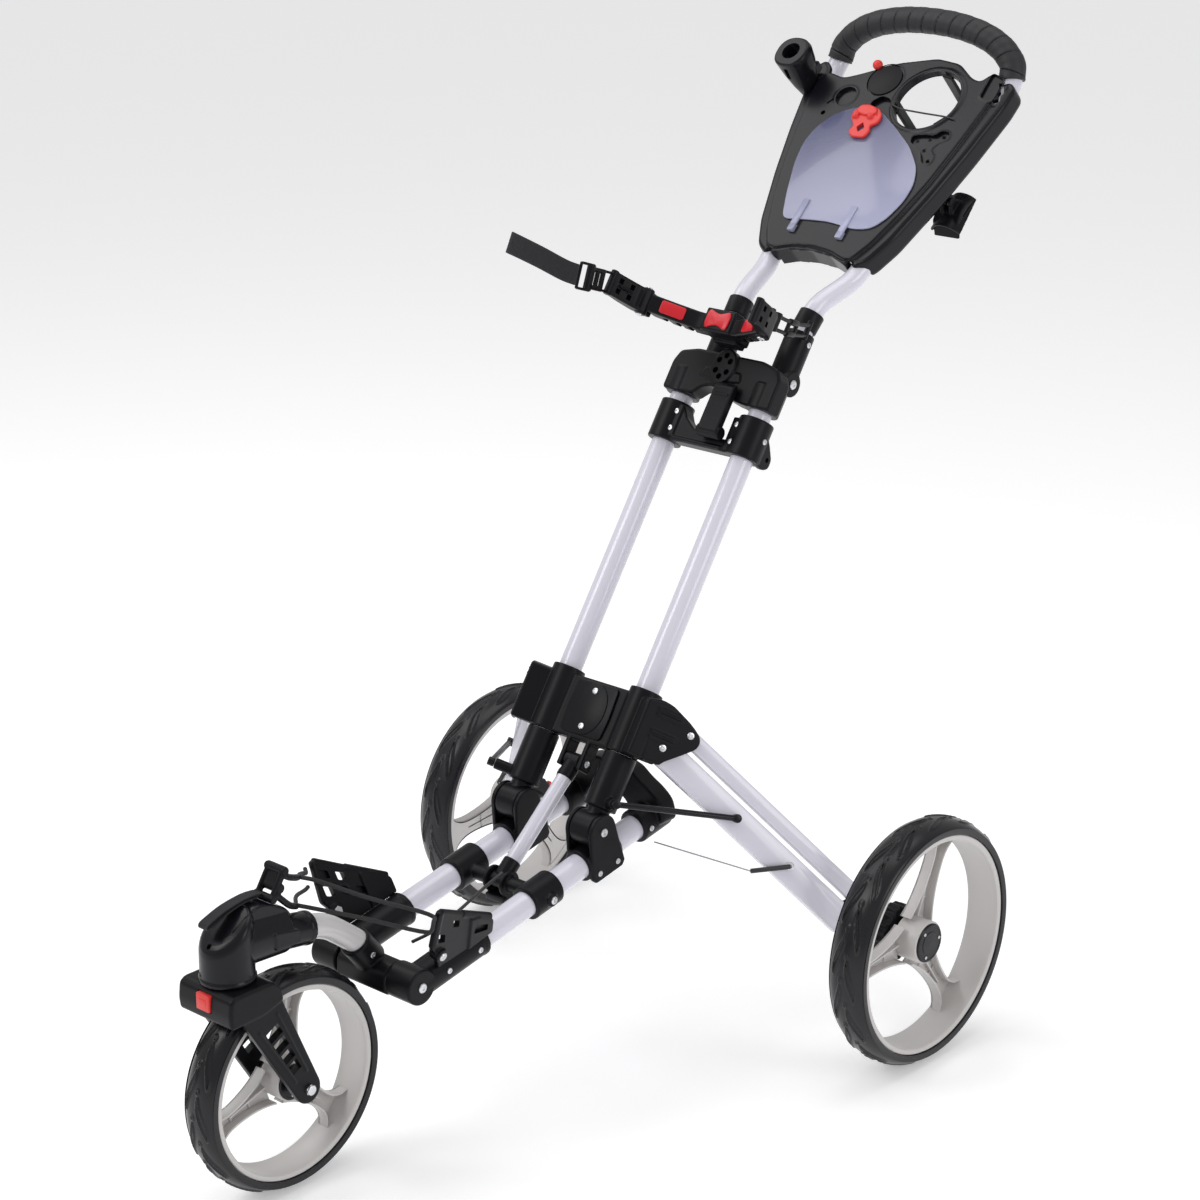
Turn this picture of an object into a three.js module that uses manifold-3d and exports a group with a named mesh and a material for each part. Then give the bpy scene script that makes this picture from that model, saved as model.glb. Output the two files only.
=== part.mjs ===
// Three-wheel folding golf push trolley, millimetres, +Z up, +Y to the rear (the side the user walks on),
// +X is the left-hand side. The origin is the centre of the footprint, on the ground.
import * as THREE from 'three';
import { mergeVertices } from 'three/addons/utils/BufferGeometryUtils.js';
import Module from 'manifold-3d';
const wasm = await Module();
wasm.setup();

// ---------- driving dimensions ----------
const SHIFT_Y = 185.7;            // moves the layout (rear axle at Y = 0) to the centre of the footprint
const REAR_R = 146, REAR_W = 48, REAR_X = 323;      // rear tyre radius, width, centre offset
const FRONT_R = 123, FRONT_W = 45;                  // front tyre
const WHEELBASE = 679;
const CH_X = 57.5, CH_R = 15, CH_RISE = 11.2;       // chassis tubes: half spacing, radius, rise to the rear (deg)
const MAST_X = 58.8, MAST_R = 13.75, MAST_LEAN = 34.3; // mast tubes: half spacing, radius, lean from vertical (deg)
const PIVOT_Y = -265, PIVOT_Z = 291.5;              // mast pivot
const STRUT_Y = -350, STRUT_Z = 239, STRUT_TOP = 66; // strut foot, strut head distance along the mast
const BAR_Y = -548, BAR_Z = 203;                    // front arm hinge
const STEER_Y = -748;                               // steering axis
const CONSOLE_Y = 185, CONSOLE_Z = 870, CONSOLE_RISE = 44.3; // console face: lower middle point and rise (deg)
const GAP = 0.3;

// ---------- helpers ----------
const V = (x, y, z) => new THREE.Vector3(x, y, z);
const rad = (d) => d * Math.PI / 180;
function toM(g) {
  let h = g.index ? g.toNonIndexed() : g.clone();
  for (const k of Object.keys(h.attributes)) if (k !== 'position') h.deleteAttribute(k);
  h = mergeVertices(h, 1e-4);
  const m = new wasm.Manifold(new wasm.Mesh({ numProp: 3, vertProperties: new Float32Array(h.attributes.position.array), triVerts: new Uint32Array(h.index.array) }));
  return m;
}
function toG(m) {
  const o = m.getMesh();
  const g = new THREE.BufferGeometry();
  g.setAttribute('position', new THREE.BufferAttribute(new Float32Array(o.vertProperties), 3));
  g.setIndex(new THREE.BufferAttribute(new Uint32Array(o.triVerts), 1));
  return g;
}
const basis = (o, ex, ey, ez) => new THREE.Matrix4().makeBasis(ex, ey, ez).setPosition(o);
const on = (g, M) => g.clone().applyMatrix4(M);
function add(...gs) { let m = toM(gs[0]); for (const g of gs.slice(1)) m = m.add(toM(g)); return toG(m); }
function cut(a, ...bs) { let m = toM(a); for (const b of bs) m = m.subtract(toM(b)); return toG(m); }
const coarse = (k) => (k > 40 ? 28 : k >= 28 ? 16 : k >= 24 ? 14 : k >= 20 ? 12 : k >= 14 ? 10 : 8);
function rod(a, b, r, seg = 16, r2 = r) { // solid round bar from a to b
  const d = b.clone().sub(a), L = d.length();
  const g = new THREE.CylinderGeometry(r2, r, L, coarse(seg), 1);
  g.applyQuaternion(new THREE.Quaternion().setFromUnitVectors(V(0, 1, 0), d.normalize()));
  const c = a.clone().add(b).multiplyScalar(0.5);
  return g.translate(c.x, c.y, c.z);
}
function box(x0, x1, y0, y1, z0, z1) {
  return new THREE.BoxGeometry(x1 - x0, y1 - y0, z1 - z0).translate((x0 + x1) / 2, (y0 + y1) / 2, (z0 + z1) / 2);
}
function shapeOf(pts) { const s = new THREE.Shape(); pts.forEach((p, i) => (i ? s.lineTo(p[0], p[1]) : s.moveTo(p[0], p[1]))); s.closePath(); return s; }
function slab(pts, z0, z1) { // outline in local XY, thickness along local Z
  return new THREE.ExtrudeGeometry(shapeOf(pts), { depth: z1 - z0, bevelEnabled: false }).translate(0, 0, z0);
}
function slabX(ptsYZ, x0, x1) { // outline in YZ, thickness along X
  const g = slab(ptsYZ, x0, x1);
  return g.applyMatrix4(new THREE.Matrix4().makeBasis(V(0, 1, 0), V(0, 0, 1), V(1, 0, 0)));
}
function slabSQ(pts, x0, x1) { // outline in (along mast, towards the front), thickness across
  return slab(pts, x0, x1).applyMatrix4(new THREE.Matrix4().makeBasis(V(0, 1, 0), V(0, 0, 1), V(1, 0, 0))).applyMatrix4(MF);
}
function slabXQ(pts, s0, s1) { // outline in (across, towards the front), thickness along the mast
  return slab(pts, -s1, -s0).applyMatrix4(new THREE.Matrix4().makeBasis(V(1, 0, 0), V(0, 0, 1), V(0, -1, 0))).applyMatrix4(MF);
}
function arc(cx, cy, r, a0, a1, n) { const o = []; for (let i = 0; i <= n; i++) { const a = rad(a0 + (a1 - a0) * i / n); o.push([cx + r * Math.cos(a), cy + r * Math.sin(a)]); } return o; }
function tube(path, r, seg = 12, steps = 24, curved = true) {
  const pts = path.map((p) => V(...p));
  let c;
  if (curved) c = new THREE.CatmullRomCurve3(pts, false, 'centripetal');
  else { c = new THREE.CurvePath(); for (let i = 0; i + 1 < pts.length; i++) c.add(new THREE.LineCurve3(pts[i], pts[i + 1])); }
  return new THREE.ExtrudeGeometry(shapeOf(arc(0, 0, r, 0, 360 - 360 / seg, seg - 1)), { steps, extrudePath: c, bevelEnabled: false });
}
function band(path, w, t, M, wide, thin = V(1, 0, 0)) { // flat webbing through points of a local frame, its width along one local axis
  const k = path.length, out = [], ind = [];
  path.forEach((q, i) => { for (const [a, b] of [[-1, -1], [1, -1], [1, 1], [-1, 1]]) out.push(V(...q).addScaledVector(thin, a * t / 2).addScaledVector(wide, b * w / 2)); });
  for (let i = 0; i + 1 < k; i++) for (let j = 0; j < 4; j++) { const a = 4 * i + j, b = 4 * i + (j + 1) % 4; ind.push(a, b, b + 4, a, b + 4, a + 4); }
  ind.push(0, 2, 1, 0, 3, 2); const e = 4 * (k - 1); ind.push(e, e + 1, e + 2, e, e + 2, e + 3);
  const g = new THREE.BufferGeometry(); g.setAttribute('position', new THREE.BufferAttribute(new Float32Array(out.flatMap((v) => v.toArray())), 3)); g.setIndex(ind);
  g.applyMatrix4(M);
  if (toVolume(g) < 0) { const id = Array.from(g.index.array); for (let i = 0; i < id.length; i += 3) [id[i + 1], id[i + 2]] = [id[i + 2], id[i + 1]]; g.setIndex(id); }
  return g;
}
function toVolume(g) { const p = g.attributes.position, id = g.index.array; let v = 0; const a = V(0, 0, 0), b = V(0, 0, 0), c = V(0, 0, 0); for (let i = 0; i < id.length; i += 3) { a.fromBufferAttribute(p, id[i]); b.fromBufferAttribute(p, id[i + 1]); c.fromBufferAttribute(p, id[i + 2]); v += a.dot(b.cross(c)); } return v; }
function mirror(g) { // other side of the trolley
  const h = g.index ? g.toNonIndexed() : g.clone();
  const p = h.attributes.position;
  for (let i = 0; i < p.count; i += 3) {
    for (let k = 0; k < 3; k++) p.setX(i + k, -p.getX(i + k));
    const a = [p.getX(i + 1), p.getY(i + 1), p.getZ(i + 1)];
    p.setXYZ(i + 1, p.getX(i + 2), p.getY(i + 2), p.getZ(i + 2));
    p.setXYZ(i + 2, ...a);
  }
  for (const k of Object.keys(h.attributes)) if (k !== 'position') h.deleteAttribute(k);
  return mergeVertices(h, 1e-4);
}

// ---------- local frames ----------
const ml = rad(MAST_LEAN), cr = rad(CH_RISE), kr = rad(CONSOLE_RISE);
const m = V(0, Math.sin(ml), Math.cos(ml)), mq = V(0, -Math.cos(ml), Math.sin(ml));
const MF = basis(V(0, PIVOT_Y, PIVOT_Z), V(1, 0, 0), m, mq);          // (x, distance along the mast, towards the front)
const tau = V(0, Math.cos(cr), Math.sin(cr)), tq = V(0, -Math.sin(cr), Math.cos(cr));
const CH0 = V(0, -735.2, 162.2);
const CF = basis(CH0, V(1, 0, 0), tau, tq);                           // (x, distance along the chassis tube, up)
const n = V(0.81, -0.48, 0.33); n.addScaledVector(m, -n.dot(m)).normalize();
const p = new THREE.Vector3().crossVectors(m, n).normalize();
const LEG = V(100, -197.9, 379);
const LF = basis(LEG, p, m, n);                                       // (outwards, up the mast, leg face normal), origin at the leg pivot
const kw = V(0, Math.cos(kr), Math.sin(kr)), kn = V(0, -Math.sin(kr), Math.cos(kr));
const KF = basis(V(0, CONSOLE_Y, CONSOLE_Z), V(1, 0, 0), kw, kn);     // (x, up the console face, out of the face)
const mr = (x, s, q) => V(x, s, q).applyMatrix4(MF);
const cx = (x, t, q) => V(x, t, q).applyMatrix4(CF);
const lg = (a, b, c) => V(a, b, c).applyMatrix4(LF);
const kf = (x, w, h) => V(x, w, h).applyMatrix4(KF);
const bar = (F, a, b, r, seg, r2) => rod(F(...a), F(...b), r, seg, r2);

// ---------- scene ----------
const root = new THREE.Group();
root.position.set(0, SHIFT_Y, 0);
function put(name, geom, color, roughness = 0.5, metalness = 0) {
  const mesh = new THREE.Mesh(geom, new THREE.MeshStandardMaterial({ color, roughness, metalness }));
  mesh.name = name;
  root.add(mesh);
}
const BLACK = 0x1b1b1e, WHITE = 0xe9e8f0, GREY = 0xc9c7c6, TYRE = 0x202024, RED = 0xd6202c, CORAL = 0xe2504c, STEEL = 0x9a9ca0;
const both = (name, geom, ...c) => { put(name + '_left', geom, ...c); put(name + '_right', mirror(geom), ...c); };

// ---------- wheels ----------
function tyre(R, rIn, W) {
  const h = W / 2;
  const pr = [[rIn, -h], [R - 8, -h], [R, -h + 14], [R, h - 14], [R - 8, h], [rIn, h], [rIn, -h]];
  return new THREE.LatheGeometry(pr.map((q) => new THREE.Vector2(q[0], q[1])), 30).rotateZ(-Math.PI / 2);
}
function rim(rOut, W, rHub, inX, outX, boreR, spin) { // barrel, three webbed spokes on the inner side, hub
  const h = W / 2 - 3.4;
  const ring = new THREE.LatheGeometry([[rOut - 8, -h], [rOut, -h], [rOut, h], [rOut - 8, h], [rOut - 8, -h]].map((q) => new THREE.Vector2(...q)), 30).rotateZ(-Math.PI / 2);
  const parts = [ring, rod(V(inX, 0, 0), V(outX, 0, 0), rHub, 20)];
  for (let i = 0; i < 3; i++) {
    const sp = slabX([[rHub - 6, -12], [rOut - 30, -9], [rOut - 6, -20], [rOut - 6, 20], [rOut - 30, 9], [rHub - 6, 12]], inX + 1, inX + 8);
        const M = new THREE.Matrix4().makeRotationX(rad(spin + 120 * i));
    parts.push(on(sp, M));
  }
  return cut(add(...parts), rod(V(inX - 2, 0, 0), V(outX + 2, 0, 0), boreR, 12));
}
const rearAt = new THREE.Matrix4().makeTranslation(REAR_X, 0, REAR_R);
const frontAt = new THREE.Matrix4().makeTranslation(0, -WHEELBASE, FRONT_R);
both('rear_tyre', on(tyre(REAR_R, 130, REAR_W), rearAt), TYRE, 0.75);
both('rear_rim', on(rim(129.7, REAR_W, 25, -20, 12, 6.3, 66), rearAt), GREY, 0.45);
put('front_tyre', on(tyre(FRONT_R, 108, FRONT_W), frontAt), TYRE, 0.75);
put('front_rim', on(rim(107.7, FRONT_W, 22, -15, 15, 6.3, 78), frontAt), GREY, 0.45);

// ---------- steering fork ----------
const FY = -WHEELBASE;
const armProfile = [[-768, 236], [-766, 255], [-724, 255], [-711, 238], ...arc(FY, FRONT_R, 16.5, 25, -145, 10)];
const crown = slabX([[-779, 226], [-781, 240], [-779, 257], [-772, 261.6], [-722, 261.6], [-711, 252], [-708, 236], [-735, 228]], -41, 41);
const wheelClear = rod(V(-27, FY, FRONT_R), V(27, FY, FRONT_R), FRONT_R + 5, 48);
const lockPocket = box(-11, 11, -784, -767, 237, 257);
put('front_fork', cut(add(cut(crown, wheelClear), slabX(armProfile, 31, 40), slabX(armProfile, -40, -31), rod(V(0, STEER_Y, 255), V(0, STEER_Y, 300), 8, 16)), lockPocket,
  rod(V(-45, FY, FRONT_R), V(45, FY, FRONT_R), 6.3, 12)), BLACK, 0.5);
put('swivel_lock_button', box(-10, 10, -783, -772, 238, 256), CORAL, 0.45);
put('front_axle', rod(V(-45, FY, FRONT_R), V(45, FY, FRONT_R), 5.6, 12), STEEL, 0.3, 1);

// ---------- front arm ----------
const headTop = slabX([[-800, 360], [-800, 288], [-776, 296], [-742, 323], [-716, 334], [-690, 334], [-690, 360]], -40, 40);
const head = add(cut(rod(V(0, STEER_Y, 262), V(0, STEER_Y, 340), 28.5, 28), headTop), rod(V(0, -738, 298), V(0, -678, 293), 27, 28, 25.5),
  slabX([[-745, 306], [-740, 324], [-716, 334], [-700, 331], [-679, 320.5], [-669, 309], [-690, 296]], -13, 13), rod(V(0, -700, 292), V(0, -640, 281), 19.5, 24, 17.6));
put('steering_head', cut(head, rod(V(0, STEER_Y, 255), V(0, STEER_Y, 301), 9, 16), rod(V(0, -673, 287.4), V(0, -630, 279.2), 14.6, 20)), BLACK, 0.5);
put('gooseneck_tube', tube([[0, -670, 286.8], [0, -655, 284], [0, -640, 281], [0, -624, 277.5], [0, -609, 270.5], [0, -595, 260.5], [0, -581, 249.6], [0, -567, 238.5]], 13.5, 12, 12), GREY, 0.4);
const barSection = [[-566, 190], [-560, 186], [-545, 184.5], [-533, 190], [-529, 203], [-533, 215], [-543, 221.5], [-556, 220], [-566, 210]];
put('front_hinge_bar', cut(add(slabX(barSection, -37.4, 37.4), rod(V(0, -550, 214), V(0, -573.5, 243), 17.5, 20)), rod(V(0, -562, 234), V(0, -581, 249.8), 14.6, 16)), BLACK, 0.5);

// ---------- chassis ----------
const chTube = cut(bar(cx, [CH_X, 222.3, 0], [CH_X, 590, 0], CH_R, 20), bar(cx, [CH_X, 215, 0], [CH_X, 600, 0], CH_R - 1.6, 20));
both('chassis_tube', chTube, WHITE, 0.3);
const corner = cut(add(bar(cx, [CH_X, 200, 0], [CH_X, 296, 0], 19, 20), rod(V(38.4, BAR_Y, BAR_Z), V(76, BAR_Y, BAR_Z), 20, 24), bar(cx, [CH_X, 192, 0], [CH_X, 206, 0], 18.5, 20)),
  bar(cx, [CH_X, 222, 0], [CH_X, 300, 0], CH_R + 0.3, 20));
both('front_corner', corner, BLACK, 0.5);
// collars, cross bar and strut foot bracket
const TS = (STRUT_Y + 735.2) / Math.cos(cr);
const yokeParts = [];
for (const s of [-1, 1]) yokeParts.push(bar(cx, [s * CH_X, TS - 21, 0], [s * CH_X, TS + 21, 0], 20, 20), bar(cx, [s * 40, TS, 0], [s * 13, TS, 0], 9, 12), bar(cx, [s * 10.5, TS, 0], [s * 14.5, TS, 0], 15, 16), rod(V(s * 70, STRUT_Y, STRUT_Z), V(s * 81, STRUT_Y, STRUT_Z), 8, 12));
yokeParts.push(slab([[-14.5, -20], [14.5, -20], [14.5, -12.5], [-14.5, -12.5]], -14, 14).applyMatrix4(basis(cx(0, TS, 0), V(1, 0, 0), tq, tau.clone().negate())));
let yoke = add(...yokeParts);
for (const s of [-1, 1]) yoke = cut(yoke, bar(cx, [s * CH_X, TS - 25, 0], [s * CH_X, TS + 25, 0], CH_R + 0.3, 20));
put('strut_yoke', yoke, BLACK, 0.5);
// clevises that carry the mast pivots
const TP = (PIVOT_Y + 735.2) * Math.cos(cr) + (PIVOT_Z - 162.2) * Math.sin(cr);
const qP = -(PIVOT_Y + 735.2) * Math.sin(cr) + (PIVOT_Z - 162.2) * Math.cos(cr);
const plate = [...arc(TP, qP, 20.5, 180, 0, 10), [TP + 24, 6], [TP + 27, -14], [TP + 22, -19.5], [TP - 22, -19.5], [TP - 27, -14], [TP - 24, 6]];
const plateAt = (x0, x1) => slabX(plate, x0, x1).applyMatrix4(basis(CH0, V(1, 0, 0), tau, tq));
let clevis = add(bar(cx, [CH_X, TP - 27, 0], [CH_X, TP + 27, 0], 19.3, 20), plateAt(37.6, 42.7), plateAt(72.4, 77.8));
clevis = cut(clevis, bar(cx, [CH_X, TP - 30, 0], [CH_X, TP + 30, 0], CH_R + 0.3, 20), rod(V(42.7, PIVOT_Y, PIVOT_Z), V(72.4, PIVOT_Y, PIVOT_Z), 21, 24));
both('mast_clevis', clevis, BLACK, 0.5);
// rear saddle
const arch = [[-86, 276], [-80, 298], [-66, 309], [-48, 318], [-34, 328], [-20, 331], [20, 331], [34, 328], [48, 318], [66, 309], [80, 298], [86, 276], [72, 268], [38, 272], [26, 290], [0, 300], [-26, 290], [-38, 272], [-72, 268]];
let saddle = slab(arch, -8, 17).applyMatrix4(new THREE.Matrix4().makeBasis(V(1, 0, 0), V(0, 0, 1), V(0, -1, 0)).setPosition(0, -156, 0));
saddle = add(saddle, bar(cx, [CH_X, 553, 0], [CH_X, 600, 0], 20, 20), bar(cx, [-CH_X, 553, 0], [-CH_X, 600, 0], 20, 20));
for (const s of [-1, 1]) saddle = cut(saddle, bar(cx, [s * CH_X, 545, 0], [s * CH_X, 590.5, 0], CH_R + 0.3, 20));
put('rear_saddle', saddle, BLACK, 0.5);

// ---------- strut ----------
const strutA = V(0, STRUT_Y, STRUT_Z), strutB = mr(0, STRUT_TOP, 0);
const sd = strutB.clone().sub(strutA).normalize(), sn = new THREE.Vector3().crossVectors(V(1, 0, 0), sd);
const SF = basis(strutA, V(1, 0, 0), sd, sn);
const SL = strutB.distanceTo(strutA);
const st = (x, y, z) => V(x, y, z).applyMatrix4(SF);
put('strut', add(bar(st, [0, 15, 0], [0, SL - 16, 0], 9, 16), rod(st(-9.8, 0, 0), st(9.8, 0, 0), 9.5, 16), bar(st, [0, 4, 0], [0, 16.7, 0], 8.5, 12),
  rod(st(-10.5, SL, 0), st(10.5, SL, 0), 9, 16), bar(st, [0, SL - 17.7, 0], [0, SL - 4, 0], 8.5, 12)), WHITE, 0.3);

// ---------- mast ----------
let foot = add(rod(V(43.2, PIVOT_Y, PIVOT_Z), V(71.9, PIVOT_Y, PIVOT_Z), 20, 24), bar(mr, [MAST_X, 0, 0], [MAST_X, 30, 0], 13, 20), bar(mr, [MAST_X, 24, 0], [MAST_X, 88, 0], 19, 24));
foot = add(foot, bar(lg, [-25, -78, -16], [-25, -78, 8.5], 6.5, 12));
foot = cut(foot, bar(mr, [MAST_X, 28, 0], [MAST_X, 95, 0], MAST_R + GAP, 20));
both('mast_foot', foot, BLACK, 0.45);
both('mast_tube', cut(bar(mr, [MAST_X, 28.3, 0], [MAST_X, 538, 0], MAST_R, 20), bar(mr, [MAST_X, 20, 0], [MAST_X, 545, 0], MAST_R - 1.5, 20)), WHITE, 0.3);
// collar pair with cross web
let mid = add(bar(mr, [MAST_X, 452, 0], [MAST_X, 500, 0], 20.5, 24), bar(mr, [-MAST_X, 452, 0], [-MAST_X, 500, 0], 20.5, 24), on(slab([[-46, 453], [46, 453], [46, 468], [2, 468], [-14, 472], [-30, 483], [-40, 497], [-46, 497]], -7, 13), MF),
  on(box(-50, -38, 456, 497, -6, 15), MF), on(box(36, 50, 456, 496, -6, 15), MF),
  slabSQ([[452, 0], [490, 0], [482, -14], [466, -29], [455, -29], [450, -20]], -77, -69), slabSQ([[452, 0], [490, 0], [482, -14], [466, -29], [455, -29], [450, -20]], 69, 77));
for (const s of [-1, 1]) mid = cut(mid, bar(mr, [s * MAST_X, 440, 0], [s * MAST_X, 510, 0], MAST_R + GAP, 20));
put('mid_collar', mid, BLACK, 0.5);
// upper bracket
let up = add(bar(mr, [MAST_X, 510, 0], [MAST_X, 541, 0], 20.5, 24), bar(mr, [-MAST_X, 510, 0], [-MAST_X, 541, 0], 20.5, 24),
  on(slab([[-79, 516], [-79, 538], [-66, 556], [-44, 566], [-22, 571], [22, 571], [44, 566], [66, 556], [79, 538], [79, 516], [42, 516], [30, 528], [0, 534], [-30, 528], [-42, 516]], -5, 19), MF),
  bar(mr, [0, 552, 10], [0, 552, 27], 17, 20));
for (const x of [-28, 18]) up = add(up, slabSQ([[552, -38], [563, -33], [568, -20], [564, -3], [540, -3], [542, -16]], x, x + 10));
for (const s of [-1, 1]) up = cut(up, bar(mr, [s * MAST_X, 500, 0], [s * MAST_X, 538.4, 0], MAST_R + GAP, 20));
put('upper_bracket', up, BLACK, 0.5);
// latch between the collars and the upper bracket
put('fold_latch', add(slabSQ([[470, 13.4], [476, 21.5], [526, 21.5], [530, 26], [524, 31.5], [468, 32], [462, 22]], 3, 27), bar(mr, [0, 470, 23], [30, 470, 23], 7.5, 16)), BLACK, 0.45);

// ---------- upper bag cradle ----------
const cradleArm = slabXQ([[20, 40], [34, 42], [62, 56], [84, 73], [84, 93], [56, 76], [30, 62], [20, 60]], 575, 596);
put('cradle_bar', add(on(box(-22, 22, 575, 603, 20, 63), MF), on(box(-17, 17, 571.3, 577, 20, 40), MF), cradleArm, mirror(cradleArm)), BLACK, 0.5);
both('cradle_end', slabXQ([[84.4, 76], [93, 79], [104, 94], [110, 116], [112, 138], [104, 141], [97, 122], [90, 104], [84.4, 95]], 571, 599), BLACK, 0.5);
put('bag_strap', band([[-104, 566, 180], [-106, 563, 215], [-107, 558, 260], [-104, 552, 300], [-100, 548, 322]], 25, 5, MF, V(0, 1, 0)), 0x232326, 0.85);
put('elastic_cord', add(tube([mr(92, 602.5, 92), mr(90, 604, 70), mr(86, 609, 45), mr(78, 618, 15), mr(71, 626, -6)].map((v) => v.toArray()), 2.5, 6, 6)), BLACK, 0.8);

// ---------- handle ----------
let hs = add(bar(mr, [50, 553, -24], [50, 620, -24], 17, 24), rod(mr(33, 558, -24), mr(67, 558, -24), 15, 20));
hs = cut(hs, bar(mr, [50, 573.2, -24], [50, 626, -24], 13.9, 20));
both('handle_sleeve', hs, BLACK, 0.45);
const side = [mr(50, 575, -24), mr(50.5, 605, -24), mr(51.5, 632, -24.5), mr(54, 658, -29), kf(64, -22, -17), kf(70, 15, -17), kf(84, 70, -17), kf(104, 150, -17), kf(120, 220, -17), kf(126, 250, -17), kf(128.5, 268, -16.5)].map((v) => v.toArray());
const gripEnd = [127.5, 396, 1056];
side.push(gripEnd);
const full = [...side, [124, 401, 1073], [109, 403.5, 1089], [84, 404.5, 1102], [46, 405, 1111], [0, 405, 1114], [-46, 405, 1111], [-84, 404.5, 1102], [-109, 403.5, 1089], [-124, 401, 1073], [-gripEnd[0], gripEnd[1], gripEnd[2]], ...side.slice(0, -1).reverse().map((v) => [-v[0], v[1], v[2]])];
const fullIn = [mr(49.8, 568, -24).toArray(), ...full, mr(-49.8, 568, -24).toArray()];
put('handle_tube', cut(tube(full, 12.4, 10, 40), tube(fullIn, 11, 8, 42)), WHITE, 0.3);
const gripPath = [gripEnd, [124, 401, 1073], [109, 403.5, 1089], [84, 404.5, 1102], [46, 405, 1111], [0, 405, 1114], [-46, 405, 1111], [-84, 404.5, 1102], [-109, 403.5, 1089], [-124, 401, 1073], [-gripEnd[0], gripEnd[1], gripEnd[2]]];
put('handle_grip', cut(tube(gripPath, 16, 12, 18), tube(full, 12.75, 10, 40)), 0x26262a, 0.8);

// ---------- console ----------
const rimPts = [[-52, -9], [-28, -1], [0, 2], [28, -1], [52, -9], [64, -6], [78, 18], [95, 65], [109, 116], [120, 176], [127, 222], [130, 250], [128, 272], [112, 277], [100, 262], [86, 266], [60, 284], [26, 288], [-25, 275], [-72, 252], [-92, 244], [-116, 250], [-128, 240], [-127, 222], [-120, 176], [-109, 116], [-95, 65], [-78, 18], [-64, -6]];
const half = [[66, -14], [82, -4], [98, 30], [118, 100], [133, 165], [144, 235], [145, 258], [136, 270]];
const flange = [[-50, -12], [-26, -4], [0, -1], [26, -4], [50, -12], ...half, [112, 274], [100, 260], [86, 264], [60, 282], [26, 286], [-25, 273], [-72, 250], [-92, 244], [-116, 256], ...half.slice().reverse().slice(1).map(([x, w]) => [-x, w])];
let consoleBody = add(on(slab(rimPts, -2, 4), KF), on(slab(flange, -4, 0), KF), on(rod(V(-30, 247, 1), V(-30, 247, 4.8), 22.4, 41), KF)); // with its round raised pad
const wall = (s) => slab([[s * 66, -14], [s * 82, -4], [s * 98, 30], [s * 118, 100], [s * 133, 165], [s * 146, 235], [s * 147, 262], [s * 136, 272], [s * 122, 262], [s * 112, 215], [s * 96, 140], [s * 80, 72], [s * 66, 22], [s * 58, -6]].slice(), -30, -1);
for (const s of [-1, 1]) consoleBody = add(consoleBody, on(s > 0 ? wall(1) : mirror(wall(1)), KF));
consoleBody = cut(consoleBody, tube(full, 12.8, 10, 40), on(rod(V(44, 226, -40), V(44, 226, 20), 43, 28), KF));
const tunnel = (s) => slab([[s * 46, -20], [s * 58, 26], [s * 74, 92], [s * 92, 155], [s * 106, 225], [s * 112, 285], [s * 132, 285], [s * 131, 225], [s * 116, 150], [s * 97, 76], [s * 83, 20], [s * 76, -20]], -34, -17);
for (const s of [-1, 1]) consoleBody = cut(consoleBody, on(s > 0 ? tunnel(1) : mirror(tunnel(1)), KF));
consoleBody = cut(consoleBody, tube(gripPath, 16.6, 12, 18));
const leverLug = on(slabX([[112, -1], [124, -1], [123, -38], [118, -43], [113, -38]], 109.2, 114.8), KF);
consoleBody = cut(add(consoleBody, leverLug), tube(full, 12.8, 10, 40));
put('console', consoleBody, BLACK, 0.5);
put('scorecard_cover', on(slab([[-67, 39], [-84, 80], [-95, 125], [-97, 155], [-88, 182], [-65, 198], [-38, 204], [-5, 200], [30, 178], [62, 152], [84, 125], [88, 105], [78, 72], [58, 42], [40, 33]], 4.6, 6.6), KF), 0x9fa6cc, 0.15);
put('card_clip', on(add(box(-42, -14, 168, 206, 7, 13), rod(V(-28, 200, 7), V(-28, 200, 17), 9, 14)), KF), CORAL, 0.45);
let cup = add(on(slab([...arc(44, 226, 40, 0, 337.5, 15)], -78, -72), KF));
cup = cut(cup, on(rod(V(44, 226, -90), V(44, 226, -60), 16, 20), KF));
for (const a of [80, 200, 320]) cup = add(cup, on(slab([[37.5, -7], [41.6, -7], [41.6, 7], [37.5, 7]], -76, 2).rotateZ(rad(a)).translate(44, 226, 0), KF));
put('cup_holder', cup, BLACK, 0.5);
put('umbrella_holder', on(cut(add(rod(V(-148, 238, 4.6), V(-150, 243, 46), 17, 20, 23.5), box(-152, -128, 226, 254, 4.4, 18)), rod(V(-150, 243, 14), V(-150, 243, 60), 12, 16)), KF), BLACK, 0.5);
const wh = (pts, x0, x1) => on(slabX(pts, x0, x1), KF);
const cheek = [...arc(118, -38, 6, -20, 200, 6), [102, -56], [134, -56]];
put('brake_lever', add(wh(cheek, 103, 108.4), wh(cheek, 115.6, 121), wh([[88, -70], [98, -52], [112, -47], [126, -48], [142, -58], [126, -54], [112, -53], [101, -58]], 95, 131)), BLACK, 0.5);

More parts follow.
